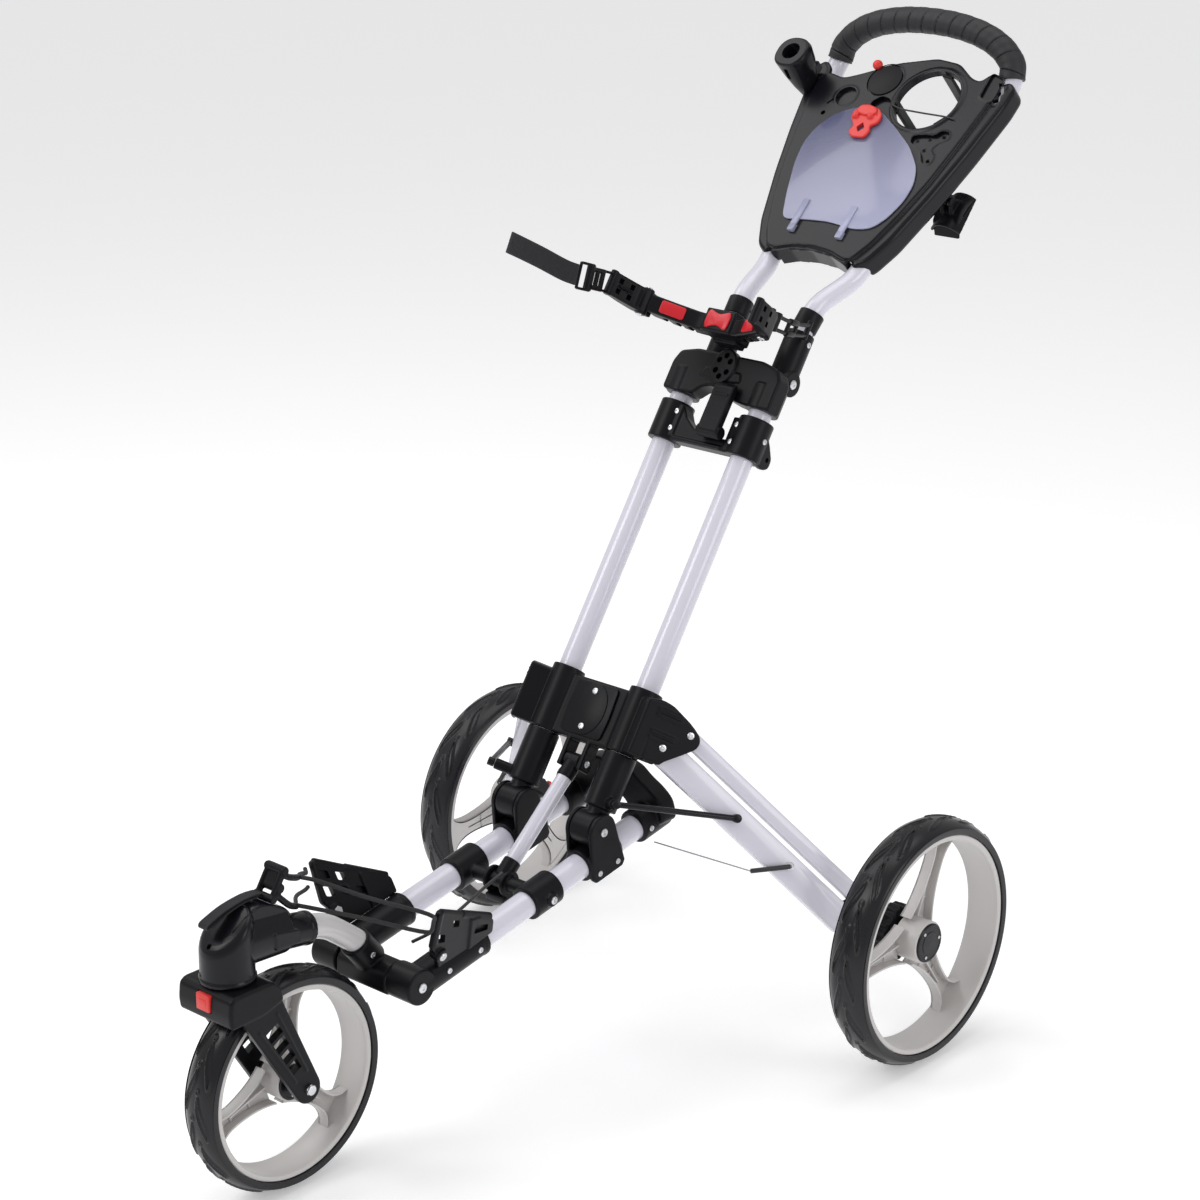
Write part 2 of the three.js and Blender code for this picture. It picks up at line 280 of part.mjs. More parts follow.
// ---------- sliding block ----------
let blk = add(bar(mr, [MAST_X, 88.8, 0], [MAST_X, 166, 0], 19.3, 24), bar(mr, [-MAST_X, 88.8, 0], [-MAST_X, 166, 0], 19.3, 24), on(box(-46, 46, 89, 160, -12, 9), MF),
  on(box(11.6, 17.6, 56, 100, -11, 9), MF), on(box(-17.6, -11.6, 56, 100, -11, 9), MF));
const earPts = [[-22, 50], [-5.5, 48.4], [20, 38], [29.2, 32.9], [36.6, 27.5], [39, 20], [36.5, 12.9], [30.2, 6.7], [7.2, -13.9], [3.6, -19.6], [-19, -20.5]];
const ear = add(on(slab(earPts, 9, 13.5), LF), on(slab(earPts, -13.5, -9), LF), on(slab([[-36, -20.5], [-19, -20.5], [-19, 50], [-36, 46]], -34, 13.5), LF));
blk = add(blk, ear, mirror(ear));
for (const s of [-1, 1]) blk = cut(blk, bar(mr, [s * MAST_X, 80, 0], [s * MAST_X, 180, 0], MAST_R + 0.45, 20));
put('main_block', blk, BLACK, 0.5);
put('block_cover', on(slab([[-30, 94], [30, 94], [32, 120], [30, 157], [-30, 157], [-32, 120]], 9.3, 13), MF), BLACK, 0.5);

// ---------- rear legs ----------
const LD = [0.945, -0.327], LLEN = 290;
const ld = new THREE.Vector2(...LD).normalize();
function leg2(a0, b0, half, thick, r, L) { // flat oval bar in the leg plane, between two pivots, with eyes
  const ang = Math.atan2(ld.y, ld.x) * 180 / Math.PI;
  const e = [a0 + ld.x * L, b0 + ld.y * L];
  const o = [...arc(a0, b0, half, ang + 90, ang + 270, 8), ...arc(e[0], e[1], half, ang - 90, ang + 90, 8)];
  let g = on(slab(o, -thick, thick), LF);
  for (const c of [e]) g = cut(g, bar(lg, [...c, -thick - 2], [...c, thick + 2], r + 0.3, 12));
  return g;
}
both('leg_main', leg2(0, 0, 16.5, 7.5, 3.5, LLEN), WHITE, 0.3);
both('leg_link', leg2(24.9, 25, 9.5, 6.5, 3.5, LLEN), WHITE, 0.3);
const E = [ld.x * LLEN, ld.y * LLEN], F = [24.9 + ld.x * LLEN, 25 + ld.y * LLEN];
const hubIn = V(278, 0, REAR_R);
let carrier = add(on(slab([[E[0] - 14, E[1] - 9], [E[0] + 4, E[1] - 16], [E[0] + 30, E[1] - 4], [F[0] + 14, F[1] + 2], [F[0] + 6, F[1] + 13], [F[0] - 8, F[1] + 12], [E[0] - 14, E[1] + 9]], -17, -9), LF),
  rod(lg(E[0] + 22, E[1] + 12, -21), V(282, 0, REAR_R), 9.5, 14, 17), rod(V(277, 0, REAR_R), V(297.5, 0, REAR_R), 34, 28));
for (const c of [E, F]) carrier = add(carrier, bar(lg, [...c, -10], [...c, 9.5], 3.1, 12));
carrier = add(carrier, rod(V(290, 0, REAR_R), V(334.5, 0, REAR_R), 5.6, 12));
both('wheel_carrier', carrier, BLACK, 0.5);
both('spreader_rod', add(bar(lg, [-25, -78, 13.3], [110.9, -38.4, 13.3], 3.6, 10), bar(lg, [-25, -78, 9.2], [-25, -78, 17], 5, 10), bar(lg, [110.9, -38.4, 9.2], [110.9, -38.4, 17], 5, 10)), BLACK, 0.5);
const cabA = V(79, -181, 254), cabK = lg(150, -86, 10), cabB = lg(191.4, -63.6, 11.6);
both('brake_cable', add(rod(cabA, cabK, 1.6, 8), rod(cabK, cabB, 3, 8), new THREE.SphereGeometry(3, 8, 6).translate(...cabK.toArray())), 0x2a2a2c, 0.7);

// ---------- front bag cradle, cables ----------
const WU = V(0.305, 0, 0).addScaledVector(tq, 0.952).normalize(), WN = new THREE.Vector3().crossVectors(tau, WU);
const WF = basis(cx(80, 0, 36), tau, WU, WN);                         // plane of a wing: along the chassis, up and outwards
const wq = (pts) => pts.map(([t, q]) => [t, (q - 36) / 0.952]);
let wing = on(slab(wq([[205, 49], [212, 94], [222, 92], [250, 68], [278, 50], [300, 32], [300, 14], [262, 12], [218, 14], [214, 34]]), -6, 6), WF);
for (const [t, q, l, h] of [[212, 52, 13, 15], [216, 71, 12, 13], [231, 44, 13, 14], [234, 60, 12, 13], [251, 36, 13, 12]]) wing = cut(wing, on(slab(wq([[t, q], [t + l, q - 0.5 * l], [t + l, q - 0.5 * l + h], [t, q + h]]), -8, 8), WF));
wing = cut(wing, bar(cx, [CH_X, 180, 0], [CH_X, 320, 0], 19.3, 20));
both('lower_cradle_wing', wing, BLACK, 0.5);
put('lower_elastic', tube([cx(-101, 205, 84), V(-60, -590, 326), V(0, -648, 341), V(50, -600, 317), cx(96, 208, 91), cx(104, 200, 92), cx(103, 196, 83), cx(94, 196, 78), V(50, -607, 296), V(4, -655, 312), V(-50, -608, 303), cx(-97, 197, 66)].map((v) => v.toArray()), 2.4, 6, 40), BLACK, 0.8);
put('lower_strap', band([[-2, -690, 339], [-2, -712, 340.5], [-2, -745, 338.5], [-2, -775, 329]], 20, 4, new THREE.Matrix4(), V(1, 0, 0), V(0, 0, 1)), 0x232326, 0.85);
put('control_cable_front', tube([[24, -372, 262], [24, -400, 254], [24, -440, 240], [24, -480, 229], [25, -512, 228]], 2, 6, 8), BLACK, 0.6);
export default root;
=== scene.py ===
import math

import bpy
import numpy as np
from mathutils import Matrix, Vector


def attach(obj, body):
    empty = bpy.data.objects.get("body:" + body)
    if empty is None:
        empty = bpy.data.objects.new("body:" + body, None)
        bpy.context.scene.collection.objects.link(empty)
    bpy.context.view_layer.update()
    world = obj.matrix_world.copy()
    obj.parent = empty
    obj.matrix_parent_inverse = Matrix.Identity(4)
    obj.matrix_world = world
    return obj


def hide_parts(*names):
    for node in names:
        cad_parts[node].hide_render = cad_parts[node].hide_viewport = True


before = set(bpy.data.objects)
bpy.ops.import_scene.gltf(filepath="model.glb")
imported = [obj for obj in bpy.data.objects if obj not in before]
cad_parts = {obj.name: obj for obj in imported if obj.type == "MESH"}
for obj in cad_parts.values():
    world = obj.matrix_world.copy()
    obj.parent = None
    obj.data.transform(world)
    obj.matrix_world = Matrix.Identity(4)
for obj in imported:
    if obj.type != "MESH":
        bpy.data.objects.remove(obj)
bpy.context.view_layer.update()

SHIFT = 185.7
COL = bpy.context.scene.collection
rad = math.radians


# ---------------------------------------------------------------- frames (millimetres, rear axle at Y = 0)
def vec(*a):
    return np.array(a, float)


def unit(v):
    v = np.array(v, float)
    return v / np.linalg.norm(v)


ml, cr, kr = rad(34.3), rad(11.2), rad(44.3)
m = vec(0, math.sin(ml), math.cos(ml))
mq = vec(0, -math.cos(ml), math.sin(ml))
tau = vec(0, math.cos(cr), math.sin(cr))
tq = vec(0, -math.sin(cr), math.cos(cr))
n = vec(0.81, -0.48, 0.33)
n = unit(n - n.dot(m) * m)
p = unit(np.cross(m, n))
kw = vec(0, math.cos(kr), math.sin(kr))
kn = vec(0, -math.sin(kr), math.cos(kr))
X = vec(1, 0, 0)


class Frame:
    def __init__(self, o, a, b, c):
        self.o, self.m = np.array(o, float), np.array([a, b, c], float)

    def __call__(self, x, y=None, z=None):
        q = np.atleast_2d(np.array(x if y is None else (x, y, z), float))
        r = self.o + q @ self.m
        return r[0] if y is not None else r


MAST = Frame((0, -265, 291.5), X, m, mq)
CHAS = Frame((0, -735.2, 162.2), X, tau, tq)
LEGF = Frame((100, -197.9, 379), p, m, n)
CONS = Frame((0, 185, 870), X, kw, kn)
WORLD = Frame((0, 0, 0), X, (0, 1, 0), (0, 0, 1))
strutA, strutB = vec(0, -350, 239), MAST(0, 66, 0)
sd = unit(strutB - strutA)
SL = float(np.linalg.norm(strutB - strutA))
STRUT = Frame(strutA, X, sd, np.cross(X, sd))


# ---------------------------------------------------------------- solids: (vertices, faces)
def ring_frame(d):
    d = unit(d)
    u = np.cross(d, X) if abs(d[0]) < 0.9 else np.cross(d, (0, 1, 0))
    u = unit(u)
    return u, np.cross(d, u)


def loft(rings, cap=True):
    k = len(rings[0])
    v = np.concatenate(rings)
    f = [(i * k + j, i * k + (j + 1) % k, (i + 1) * k + (j + 1) % k, (i + 1) * k + j) for i in range(len(rings) - 1) for j in range(k)]
    if cap:
        f += [tuple(range(k))[::-1], tuple((len(rings) - 1) * k + j for j in range(k))]
    return v, f


def rod(a, b, r, seg=48, r2=None, c=0.8):
    a, b = np.array(a, float), np.array(b, float)
    r2 = r if r2 is None else r2
    L = float(np.linalg.norm(b - a))
    d = (b - a) / L
    c = min(c, L * 0.3, r * 0.5, r2 * 0.5)
    u, w = ring_frame(d)
    t = np.linspace(0, 2 * np.pi, seg, endpoint=False)
    circle = np.cos(t)[:, None] * u + np.sin(t)[:, None] * w
    steps = []
    if c > 0:
        for k in range(4):
            g = k / 3 * math.pi / 2
            steps.append((c * (1 - math.sin(g)), r - c * (1 - math.cos(math.pi / 2 - g))))
        for k in range(4):
            g = k / 3 * math.pi / 2
            steps.append((L - c * (1 - math.cos(g)), r2 - c * (1 - math.cos(g))))
        steps = [(c * (1 - math.cos(k / 3 * math.pi / 2)), r - c * (1 - math.sin(k / 3 * math.pi / 2))) for k in range(4)] + [
            (L - c * (1 - math.sin(k / 3 * math.pi / 2)), r2 - c * (1 - math.cos(k / 3 * math.pi / 2))) for k in range(4)]
    else:
        steps = [(0, r), (L, r2)]
    return loft([a + d * s + circle * q for s, q in steps])


def pipe(path, r, seg=20, smooth=0, ends=True):
    q = curve(path, smooth) if smooth else np.array(path, float)
    r = np.full(len(q), float(r)) if np.isscalar(r) else np.array(r, float)
    tan = np.gradient(q, axis=0)
    tan /= np.linalg.norm(tan, axis=1)[:, None]
    u, w = ring_frame(tan[0])
    t = np.linspace(0, 2 * np.pi, seg, endpoint=False)
    rings = []
    for i in range(len(q)):
        if i:
            u = unit(u - u.dot(tan[i]) * tan[i])
            w = np.cross(tan[i], u)
        rings.append(q[i] + r[i] * (np.cos(t)[:, None] * u + np.sin(t)[:, None] * w))
    return loft(rings)


def curve(path, per=8):
    """Centripetal Catmull-Rom through the points."""
    q = np.array(path, float)
    q = np.vstack([2 * q[0] - q[1], q, 2 * q[-1] - q[-2]])
    out = []
    for i in range(1, len(q) - 2):
        p0, p1, p2, p3 = q[i - 1 : i + 3]
        t0 = 0.0
        t1 = t0 + np.linalg.norm(p1 - p0) ** 0.5
        t2 = t1 + np.linalg.norm(p2 - p1) ** 0.5
        t3 = t2 + np.linalg.norm(p3 - p2) ** 0.5
        for t in np.linspace(t1, t2, per, endpoint=False):
            a1 = (t1 - t) / (t1 - t0) * p0 + (t - t0) / (t1 - t0) * p1
            a2 = (t2 - t) / (t2 - t1) * p1 + (t - t1) / (t2 - t1) * p2
            a3 = (t3 - t) / (t3 - t2) * p2 + (t - t2) / (t3 - t2) * p3
            b1 = (t2 - t) / (t2 - t0) * a1 + (t - t0) / (t2 - t0) * a2
            b2 = (t3 - t) / (t3 - t1) * a2 + (t - t1) / (t3 - t1) * a3
            out.append((t2 - t) / (t2 - t1) * b1 + (t - t1) / (t2 - t1) * b2)
    out.append(q[-2])
    return np.array(out)


def rounded(pts, r=0.0, steps=5):
    """An outline with its corners rounded."""
    if r <= 0:
        return [tuple(map(float, q)) for q in pts]
    out, k = [], len(pts)
    for i in range(k):
        a, b, c = (np.array(pts[(i + j) % k], float) for j in (-1, 0, 1))
        la, lc = np.linalg.norm(a - b), np.linalg.norm(c - b)
        d = min(r, la * 0.42, lc * 0.42)
        s, e = b + (a - b) / la * d, b + (c - b) / lc * d
        for t in np.linspace(0, 1, steps):
            out.append(tuple((1 - t) ** 2 * s + 2 * t * (1 - t) * b + t * t * e))
    return out


def slab(pts, z0, z1, F=WORLD, order="xyz", r=0.0, c=0.0):
    """An outline drawn in the first two letters of order, thick along the third, in frame F. c rounds the edges."""
    q = np.array(rounded(pts, r))
    area = 0.5 * np.sum(q[:, 0] * np.roll(q[:, 1], -1) - np.roll(q[:, 0], -1) * q[:, 1])
    if area < 0:
        q = q[::-1]
    nrm = np.roll(q, -1, 0) - np.roll(q, 1, 0)
    nrm = np.stack([nrm[:, 1], -nrm[:, 0]], 1)
    nrm /= np.maximum(np.linalg.norm(nrm, axis=1), 1e-9)[:, None]
    levels = [(z0, 0), (z1, 0)]
    if c > 0:
        levels = [(z0, c), (z0 + 0.3 * c, 0.3 * c), (z0 + c, 0), (z1 - c, 0), (z1 - 0.3 * c, 0.3 * c), (z1, c)]
    rings = []
    for z, inset in levels:
        w = np.column_stack([q - nrm * inset, np.full(len(q), z)])
        loc = np.zeros_like(w)
        for k, ch in enumerate(order):
            loc[:, "xyz".index(ch)] = w[:, k]
        rings.append(F(loc))
    return loft(rings)


def box(x0, x1, y0, y1, z0, z1, F=WORLD, c=0.8, r=1.0):
    return slab([(x0, y0), (x1, y0), (x1, y1), (x0, y1)], z0, z1, F, r=r, c=c)


def lathe(profile, at, seg=96):
    """A closed profile of (radius, x) turned about the X axis through at."""
    t = np.linspace(0, 2 * np.pi, seg, endpoint=False)
    q = np.array(profile, float)
    k = len(q)
    v = np.array(at, float) + np.stack([np.tile(q[:, 1], seg), (q[:, 0][None] * np.cos(t)[:, None]).ravel(), (q[:, 0][None] * np.sin(t)[:, None]).ravel()], 1)
    f = [(i * k + j, i * k + (j + 1) % k, ((i + 1) % seg) * k + (j + 1) % k, ((i + 1) % seg) * k + j) for i in range(seg) for j in range(k)]
    return v, f


def ball(c, r, s=(1, 1, 1), seg=32):
    t, g = np.linspace(0, 2 * np.pi, seg, endpoint=False), np.linspace(0.03, np.pi - 0.03, seg // 2)
    return loft([np.array(c) + np.stack([s[0] * r * math.sin(a) * np.cos(t), s[1] * r * math.sin(a) * np.sin(t), np.full(seg, s[2] * r * math.cos(a))], 1) for a in g])


def arc(cx, cy, r, a0, a1, k):
    return [(cx + r * math.cos(rad(a0 + (a1 - a0) * i / k)), cy + r * math.sin(rad(a0 + (a1 - a0) * i / k))) for i in range(k + 1)]


def turned(g, at, deg):
    """A solid turned about the X axis through at."""
    v, f = g
    c, s = math.cos(rad(deg)), math.sin(rad(deg))
    q = v - np.array(at)
    return np.stack([q[:, 0], q[:, 1] * c - q[:, 2] * s, q[:, 1] * s + q[:, 2] * c], 1) + np.array(at), f


def mirrored(g):
    v, f = g
    return v * np.array([-1, 1, 1]), [tuple(reversed(q)) for q in f]


def other(gs):
    return [mirrored(g) for g in gs]


# ---------------------------------------------------------------- materials
def material(name, color, rough, metal=0.0, grain=1400.0, bump=0.12, depth=0.0002, coat=0.0, vary=0.12, wear=0.25, spec=0.5, weave=None):
    mt = bpy.data.materials.new(name)
    mt.use_nodes = True
    nt = mt.node_tree
    N, L = nt.nodes, nt.links
    bsdf = N["Principled BSDF"]
    tc = N.new("ShaderNodeTexCoord")
    fine = N.new("ShaderNodeTexNoise")
    fine.inputs["Scale"].default_value = grain
    fine.inputs["Detail"].default_value = 3
    broad = N.new("ShaderNodeTexNoise")
    broad.inputs["Scale"].default_value = 14
    broad.inputs["Detail"].default_value = 4
    for t in (fine, broad):
        L.new(tc.outputs["Object"], t.inputs["Vector"])
    geo = N.new("ShaderNodeNewGeometry")
    edge = N.new("ShaderNodeMapRange")
    edge.inputs["From Min"].default_value, edge.inputs["From Max"].default_value = 0.53, 0.62
    L.new(geo.outputs["Pointiness"], edge.inputs["Value"])
    light = [min(1.0, c * 1.25 + 0.012) for c in color]
    worn = [min(1.0, c + (0.10 if max(color) < 0.3 else 0.03)) for c in color]
    a = N.new("ShaderNodeMix")
    a.data_type = "RGBA"
    a.inputs["A"].default_value = (*color, 1)
    a.inputs["B"].default_value = (*light, 1)
    amount = N.new("ShaderNodeMath")
    amount.operation = "MULTIPLY"
    amount.inputs[1].default_value = vary * 2
    L.new(broad.outputs["Fac"], amount.inputs[0])
    L.new(amount.outputs[0], a.inputs["Factor"])
    b = N.new("ShaderNodeMix")
    b.data_type = "RGBA"
    L.new(a.outputs["Result"], b.inputs["A"])
    b.inputs["B"].default_value = (*worn, 1)
    wear_by = N.new("ShaderNodeMath")
    wear_by.operation = "MULTIPLY"
    wear_by.inputs[1].default_value = wear
    L.new(edge.outputs["Result"], wear_by.inputs[0])
    L.new(wear_by.outputs[0], b.inputs["Factor"])
    L.new(b.outputs["Result"], bsdf.inputs["Base Color"])
    ro = N.new("ShaderNodeMapRange")
    ro.inputs["To Min"].default_value, ro.inputs["To Max"].default_value = max(0.03, rough - 0.07), rough + 0.08
    L.new(broad.outputs["Fac"], ro.inputs["Value"])
    L.new(ro.outputs["Result"], bsdf.inputs["Roughness"])
    bp = N.new("ShaderNodeBump")
    bp.inputs["Strength"].default_value = bump
    bp.inputs["Distance"].default_value = depth
    L.new(fine.outputs["Fac"], bp.inputs["Height"])
    last = bp
    if weave:
        for direction in ("X", "Z"):
            wv = N.new("ShaderNodeTexWave")
            wv.bands_direction = direction
            wv.inputs["Scale"].default_value = weave
            L.new(tc.outputs["Object"], wv.inputs["Vector"])
            b2 = N.new("ShaderNodeBump")
            b2.inputs["Strength"].default_value = 0.5
            b2.inputs["Distance"].default_value = 0.0005
            L.new(wv.outputs["Fac"], b2.inputs["Height"])
            L.new(last.outputs["Normal"], b2.inputs["Normal"])
            last = b2
    L.new(last.outputs["Normal"], bsdf.inputs["Normal"])
    bsdf.inputs["Metallic"].default_value = metal
    bsdf.inputs["Coat Weight"].default_value = coat
    bsdf.inputs["Coat Roughness"].default_value = 0.08
    bsdf.inputs["Specular IOR Level"].default_value = spec
    return mt


BLACK = material("black_plastic", (0.0030, 0.0030, 0.0046), 0.36, bump=0.22, depth=0.00015, wear=0.10, spec=0.17)
SATIN = material("black_satin", (0.0034, 0.0034, 0.0058), 0.25, bump=0.08, wear=0.10, spec=0.26)
WHITE = material("white_paint", (0.67, 0.655, 0.74), 0.20, grain=420, bump=0.03, coat=0.6, vary=0.05, wear=0.0)
RIM = material("rim_grey", (0.56, 0.54, 0.53), 0.36, bump=0.08, vary=0.08, wear=0.1)
NECK = material("grey_paint", (0.60, 0.585, 0.59), 0.25, grain=420, bump=0.03, coat=0.4, vary=0.05, wear=0.0)
FOAM = material("tyre_foam", (0.0052, 0.0052, 0.0072), 0.27, grain=900, bump=0.22, depth=0.0002, vary=0.3, wear=0.05, spec=0.34)
RED = material("pad_red", (0.60, 0.004, 0.014), 0.34, bump=0.15)
CORAL = material("coral_plastic", (0.70, 0.028, 0.022), 0.34, bump=0.08)
ZINC = material("zinc_steel", (0.62, 0.63, 0.65), 0.28, metal=1.0, grain=2600, bump=0.1, vary=0.3)
TAPE = material("grip_tape", (0.0075, 0.0073, 0.0100), 0.55, grain=1100, bump=0.5, depth=0.0004, vary=0.25)
WEB = material("webbing", (0.0105, 0.0105, 0.0135), 0.72, grain=2200, bump=0.35, weave=420)
ELAST = material("elastic", (0.012, 0.012, 0.014), 0.68, grain=1800, bump=0.5, depth=0.0004, weave=300)
SLEEVE = material("cable_sleeve", (0.014, 0.014, 0.015), 0.45, grain=1600, bump=0.15)
WIRE = material("steel_wire", (0.40, 0.40, 0.42), 0.35, metal=1.0, grain=3000, bump=0.4)
CLEAR = material("clear_cover", (0.36, 0.38, 0.62), 0.16, grain=500, bump=0.03, vary=0.2, wear=0.3)


def paint_cover_sheen(mt):
    """Painted sheen: a pale bluish gradient painted into the cover's colour, growing towards its lower left edge."""
    nt = mt.node_tree
    N, L = nt.nodes, nt.links
    bsdf = N["Principled BSDF"]
    tc, sep = N.new("ShaderNodeTexCoord"), N.new("ShaderNodeSeparateXYZ")
    L.new(tc.outputs["Object"], sep.inputs[0])
    down, side = N.new("ShaderNodeMapRange"), N.new("ShaderNodeMapRange")
    for node, out, lo, hi, a, b in ((down, "Z", 1.012, 0.895, 0.0, 0.62), (side, "X", -0.09, 0.095, 0.0, 0.38)):
        L.new(sep.outputs[out], node.inputs["Value"])
        node.inputs["From Min"].default_value, node.inputs["From Max"].default_value = lo, hi
        node.inputs["To Min"].default_value, node.inputs["To Max"].default_value = a, b
    # amount of painted sheen: grows towards low Z and towards high X
    sheen_amount = N.new("ShaderNodeMath")
    sheen_amount.operation = "ADD"
    L.new(down.outputs["Result"], sheen_amount.inputs[0])
    L.new(side.outputs["Result"], sheen_amount.inputs[1])
    # painted sheen: the dark blue cover colour blended towards pale blue
    sheen_mix = N.new("ShaderNodeMix")
    sheen_mix.data_type = "RGBA"
    sheen_mix.inputs["A"].default_value = (0.085, 0.09, 0.20, 1)
    sheen_mix.inputs["B"].default_value = (0.60, 0.61, 0.83, 1)
    L.new(sheen_amount.outputs[0], sheen_mix.inputs["Factor"])
    L.new(sheen_mix.outputs["Result"], bsdf.inputs["Base Color"])
    bsdf.inputs["Alpha"].default_value = 0.62
    bsdf.inputs["Coat Weight"].default_value = 0.6


paint_cover_sheen(CLEAR)


# ---------------------------------------------------------------- making objects
def mesh_of(name, geos):
    vs, fs, k = [], [], 0
    for v, f in geos:
        vs.append(v)
        fs += [tuple(i + k for i in q) for q in f]
        k += len(v)
    v = np.concatenate(vs)
    v = (v + np.array([0, SHIFT, 0])) / 1000.0
    me = bpy.data.meshes.new(name)
    me.from_pydata(v.tolist(), [], fs)
    me.validate()
    return me


def outward(me):
    import bmesh
    bm = bmesh.new()
    bm.from_mesh(me)
    bmesh.ops.remove_doubles(bm, verts=bm.verts, dist=1e-6)
    bmesh.ops.recalc_face_normals(bm, faces=bm.faces)
    bm.to_mesh(me)
    bm.free()


def baked(ob):
    dg = bpy.context.evaluated_depsgraph_get()
    dg.update()
    me = bpy.data.meshes.new_from_object(ob.evaluated_get(dg))
    old = ob.data
    ob.modifiers.clear()
    ob.data = me
    bpy.data.meshes.remove(old)
    return ob


def shade(ob, angle=32):
    me = ob.data
    me.polygons.foreach_set("use_smooth", [True] * len(me.polygons))
    me.set_sharp_from_angle(angle=rad(angle))


def make(name, adds, body, mat, nodes=(), cuts=(), voxel=None, smooth=5, keep=0.5, angle=32, slot=None, late=()):
    ob = bpy.data.objects.new(name, mesh_of(name, adds))
    COL.objects.link(ob)
    outward(ob.data)
    if voxel:
        r = ob.modifiers.new("r", "REMESH")
        r.mode, r.voxel_size = "VOXEL", voxel / 1000
        s = ob.modifiers.new("s", "SMOOTH")
        s.iterations, s.factor = smooth, 0.5
        d = ob.modifiers.new("d", "DECIMATE")
        d.ratio = keep
        baked(ob)
    for i, g in enumerate(cuts):
        tool = bpy.data.objects.new("tool", mesh_of("tool", [g]))
        COL.objects.link(tool)
        outward(tool.data)
        b = ob.modifiers.new("b", "BOOLEAN")
        b.operation, b.object, b.solver = "DIFFERENCE", tool, "EXACT"
        baked(ob)
        bpy.data.objects.remove(tool)
    if late:
        extra = mesh_of("x", late)
        e = bpy.data.objects.new("x", extra)
        COL.objects.link(e)
        outward(extra)
        import bmesh
        bm = bmesh.new()
        bm.from_mesh(ob.data)
        bm.from_mesh(extra)
        bm.to_mesh(ob.data)
        bm.free()
        bpy.data.objects.remove(e)
    ob.data.materials.clear()
    ob.data.materials.append(mat)
    shade(ob, angle)
    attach(ob, body)
    if nodes:
        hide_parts(*nodes)
    return ob


def pair(name, adds, body, mat, node=None, cuts=(), **kw_):
    for side, f in (("left", lambda g: list(g)), ("right", other)):
        make(name + "_" + side, f(adds), body.replace("*", side), mat, nodes=[node + "_" + side] if node else (), cuts=f(cuts), **({**kw_, "late": f(kw_["late"])} if "late" in kw_ else kw_))


def screw(at, d, r=3.4, h=1.6):
    """A pan-head screw on a surface at a point, with a shallow round recess in its head."""
    at, d = np.array(at, float), unit(d)
    u, w = ring_frame(d)
    t = np.linspace(0, 2 * np.pi, 24, endpoint=False)
    circle = np.cos(t)[:, None] * u + np.sin(t)[:, None] * w
    head = loft([at - d * 1.0 + circle * r, at + d * 0.5 * h + circle * r, at + d * 0.85 * h + circle * r * 0.86, at + d * h + circle * r * 0.6,
                 at + d * h + circle * r * 0.42, at + d * (h - 0.9) + circle * r * 0.3])
    return head


def hexnut(at, d, r=6.0, h=4.0):
    at, d = np.array(at, float), unit(d)
    u, w = ring_frame(d)
    t = np.linspace(0, 2 * np.pi, 6, endpoint=False)
    c6 = np.cos(t)[:, None] * u + np.sin(t)[:, None] * w
    return [loft([at + c6 * r * 0.93, at + d * 0.4 + c6 * r, at + d * (h - 0.5) + c6 * r, at + d * h + c6 * r * 0.9]), rod(at + d * (h - 0.5), at + d * (h + 2.0), r * 0.45, 20, c=0.5)]


SCREWS = {}


def add_screws(body, items):
    SCREWS.setdefault(body, []).extend(items)


# ---------------------------------------------------------------- camera, light, floor
back = vec(math.sin(rad(42.18)) * math.cos(rad(18.51)), -math.cos(rad(42.18)) * math.cos(rad(18.51)), math.sin(rad(18.51)))
cam_data = bpy.data.cameras.new("camera")
cam = bpy.data.objects.new("camera", cam_data)
COL.objects.link(cam)
cam.location = Vector(((2074.2) / 1000, (-2474.6 + SHIFT) / 1000, 1561.3 / 1000))
cam.rotation_mode = "QUATERNION"
cam.rotation_quaternion = (-Vector(back)).to_track_quat("-Z", "Y")
cam_data.lens, cam_data.sensor_width = 87.09, 36.0
cam_data.clip_end = 200
bpy.context.scene.camera = cam
bpy.context.scene.view_settings.view_transform = "Standard"

world = bpy.data.worlds.new("studio")
world.use_nodes = True
world.node_tree.nodes["Background"].inputs[0].default_value = (1, 1, 1, 1)
world.node_tree.nodes["Background"].inputs[1].default_value = 0.52
bpy.context.scene.world = world


def area(name, at, to, size, power):
    d = bpy.data.lights.new(name, "AREA")
    d.shape, d.size, d.size_y, d.energy = "RECTANGLE", size[0], size[1], power
    o = bpy.data.objects.new(name, d)
    COL.objects.link(o)
    o.location = at
    o.rotation_mode = "QUATERNION"
    o.rotation_quaternion = (Vector(to) - Vector(at)).to_track_quat("-Z", "Y")


area("key", (-1.6, -2.6, 3.0), (0, 0, 0.5), (1.6, 1.6), 34)
area("side", (3.2, 0.2, 1.8), (0, 0, 0.5), (1.2, 2.0), 20)
area("top", (0, 0.6, 3.4), (0, 0, 0.5), (2.0, 2.0), 20)
area("sheen", (-1.75, -0.25, 2.85), (0, 0.45, 1.0), (1.5, 1.5), 15)

floor_mesh = bpy.data.meshes.new("floor")
floor_mesh.from_pydata([(-30, -30, 0), (30, -30, 0), (30, 30, 0), (-30, 30, 0)], [], [(0, 1, 2, 3)])
floor = bpy.data.objects.new("floor", floor_mesh)
COL.objects.link(floor)
floor_mat = material("floor_white", (0.93, 0.93, 0.94), 0.7, grain=30, bump=0.02, vary=0.02, wear=0.0)
floor_mat.node_tree.nodes["Principled BSDF"].inputs["Emission Color"].default_value = (1, 1, 1, 1)
floor_mat.node_tree.nodes["Principled BSDF"].inputs["Emission Strength"].default_value = 0.30
floor_mesh.materials.append(floor_mat)
floor.location.z = -0.0006


# ---------------------------------------------------------------- cords first
def cord_object(name, path, r, body, mat, nodes, per=6, seg=14, slot=None, **facts):
    q = curve(path, per)
    ob = make(name, [pipe(q, r, seg)], body, mat, nodes, slot=slot)
    return ob


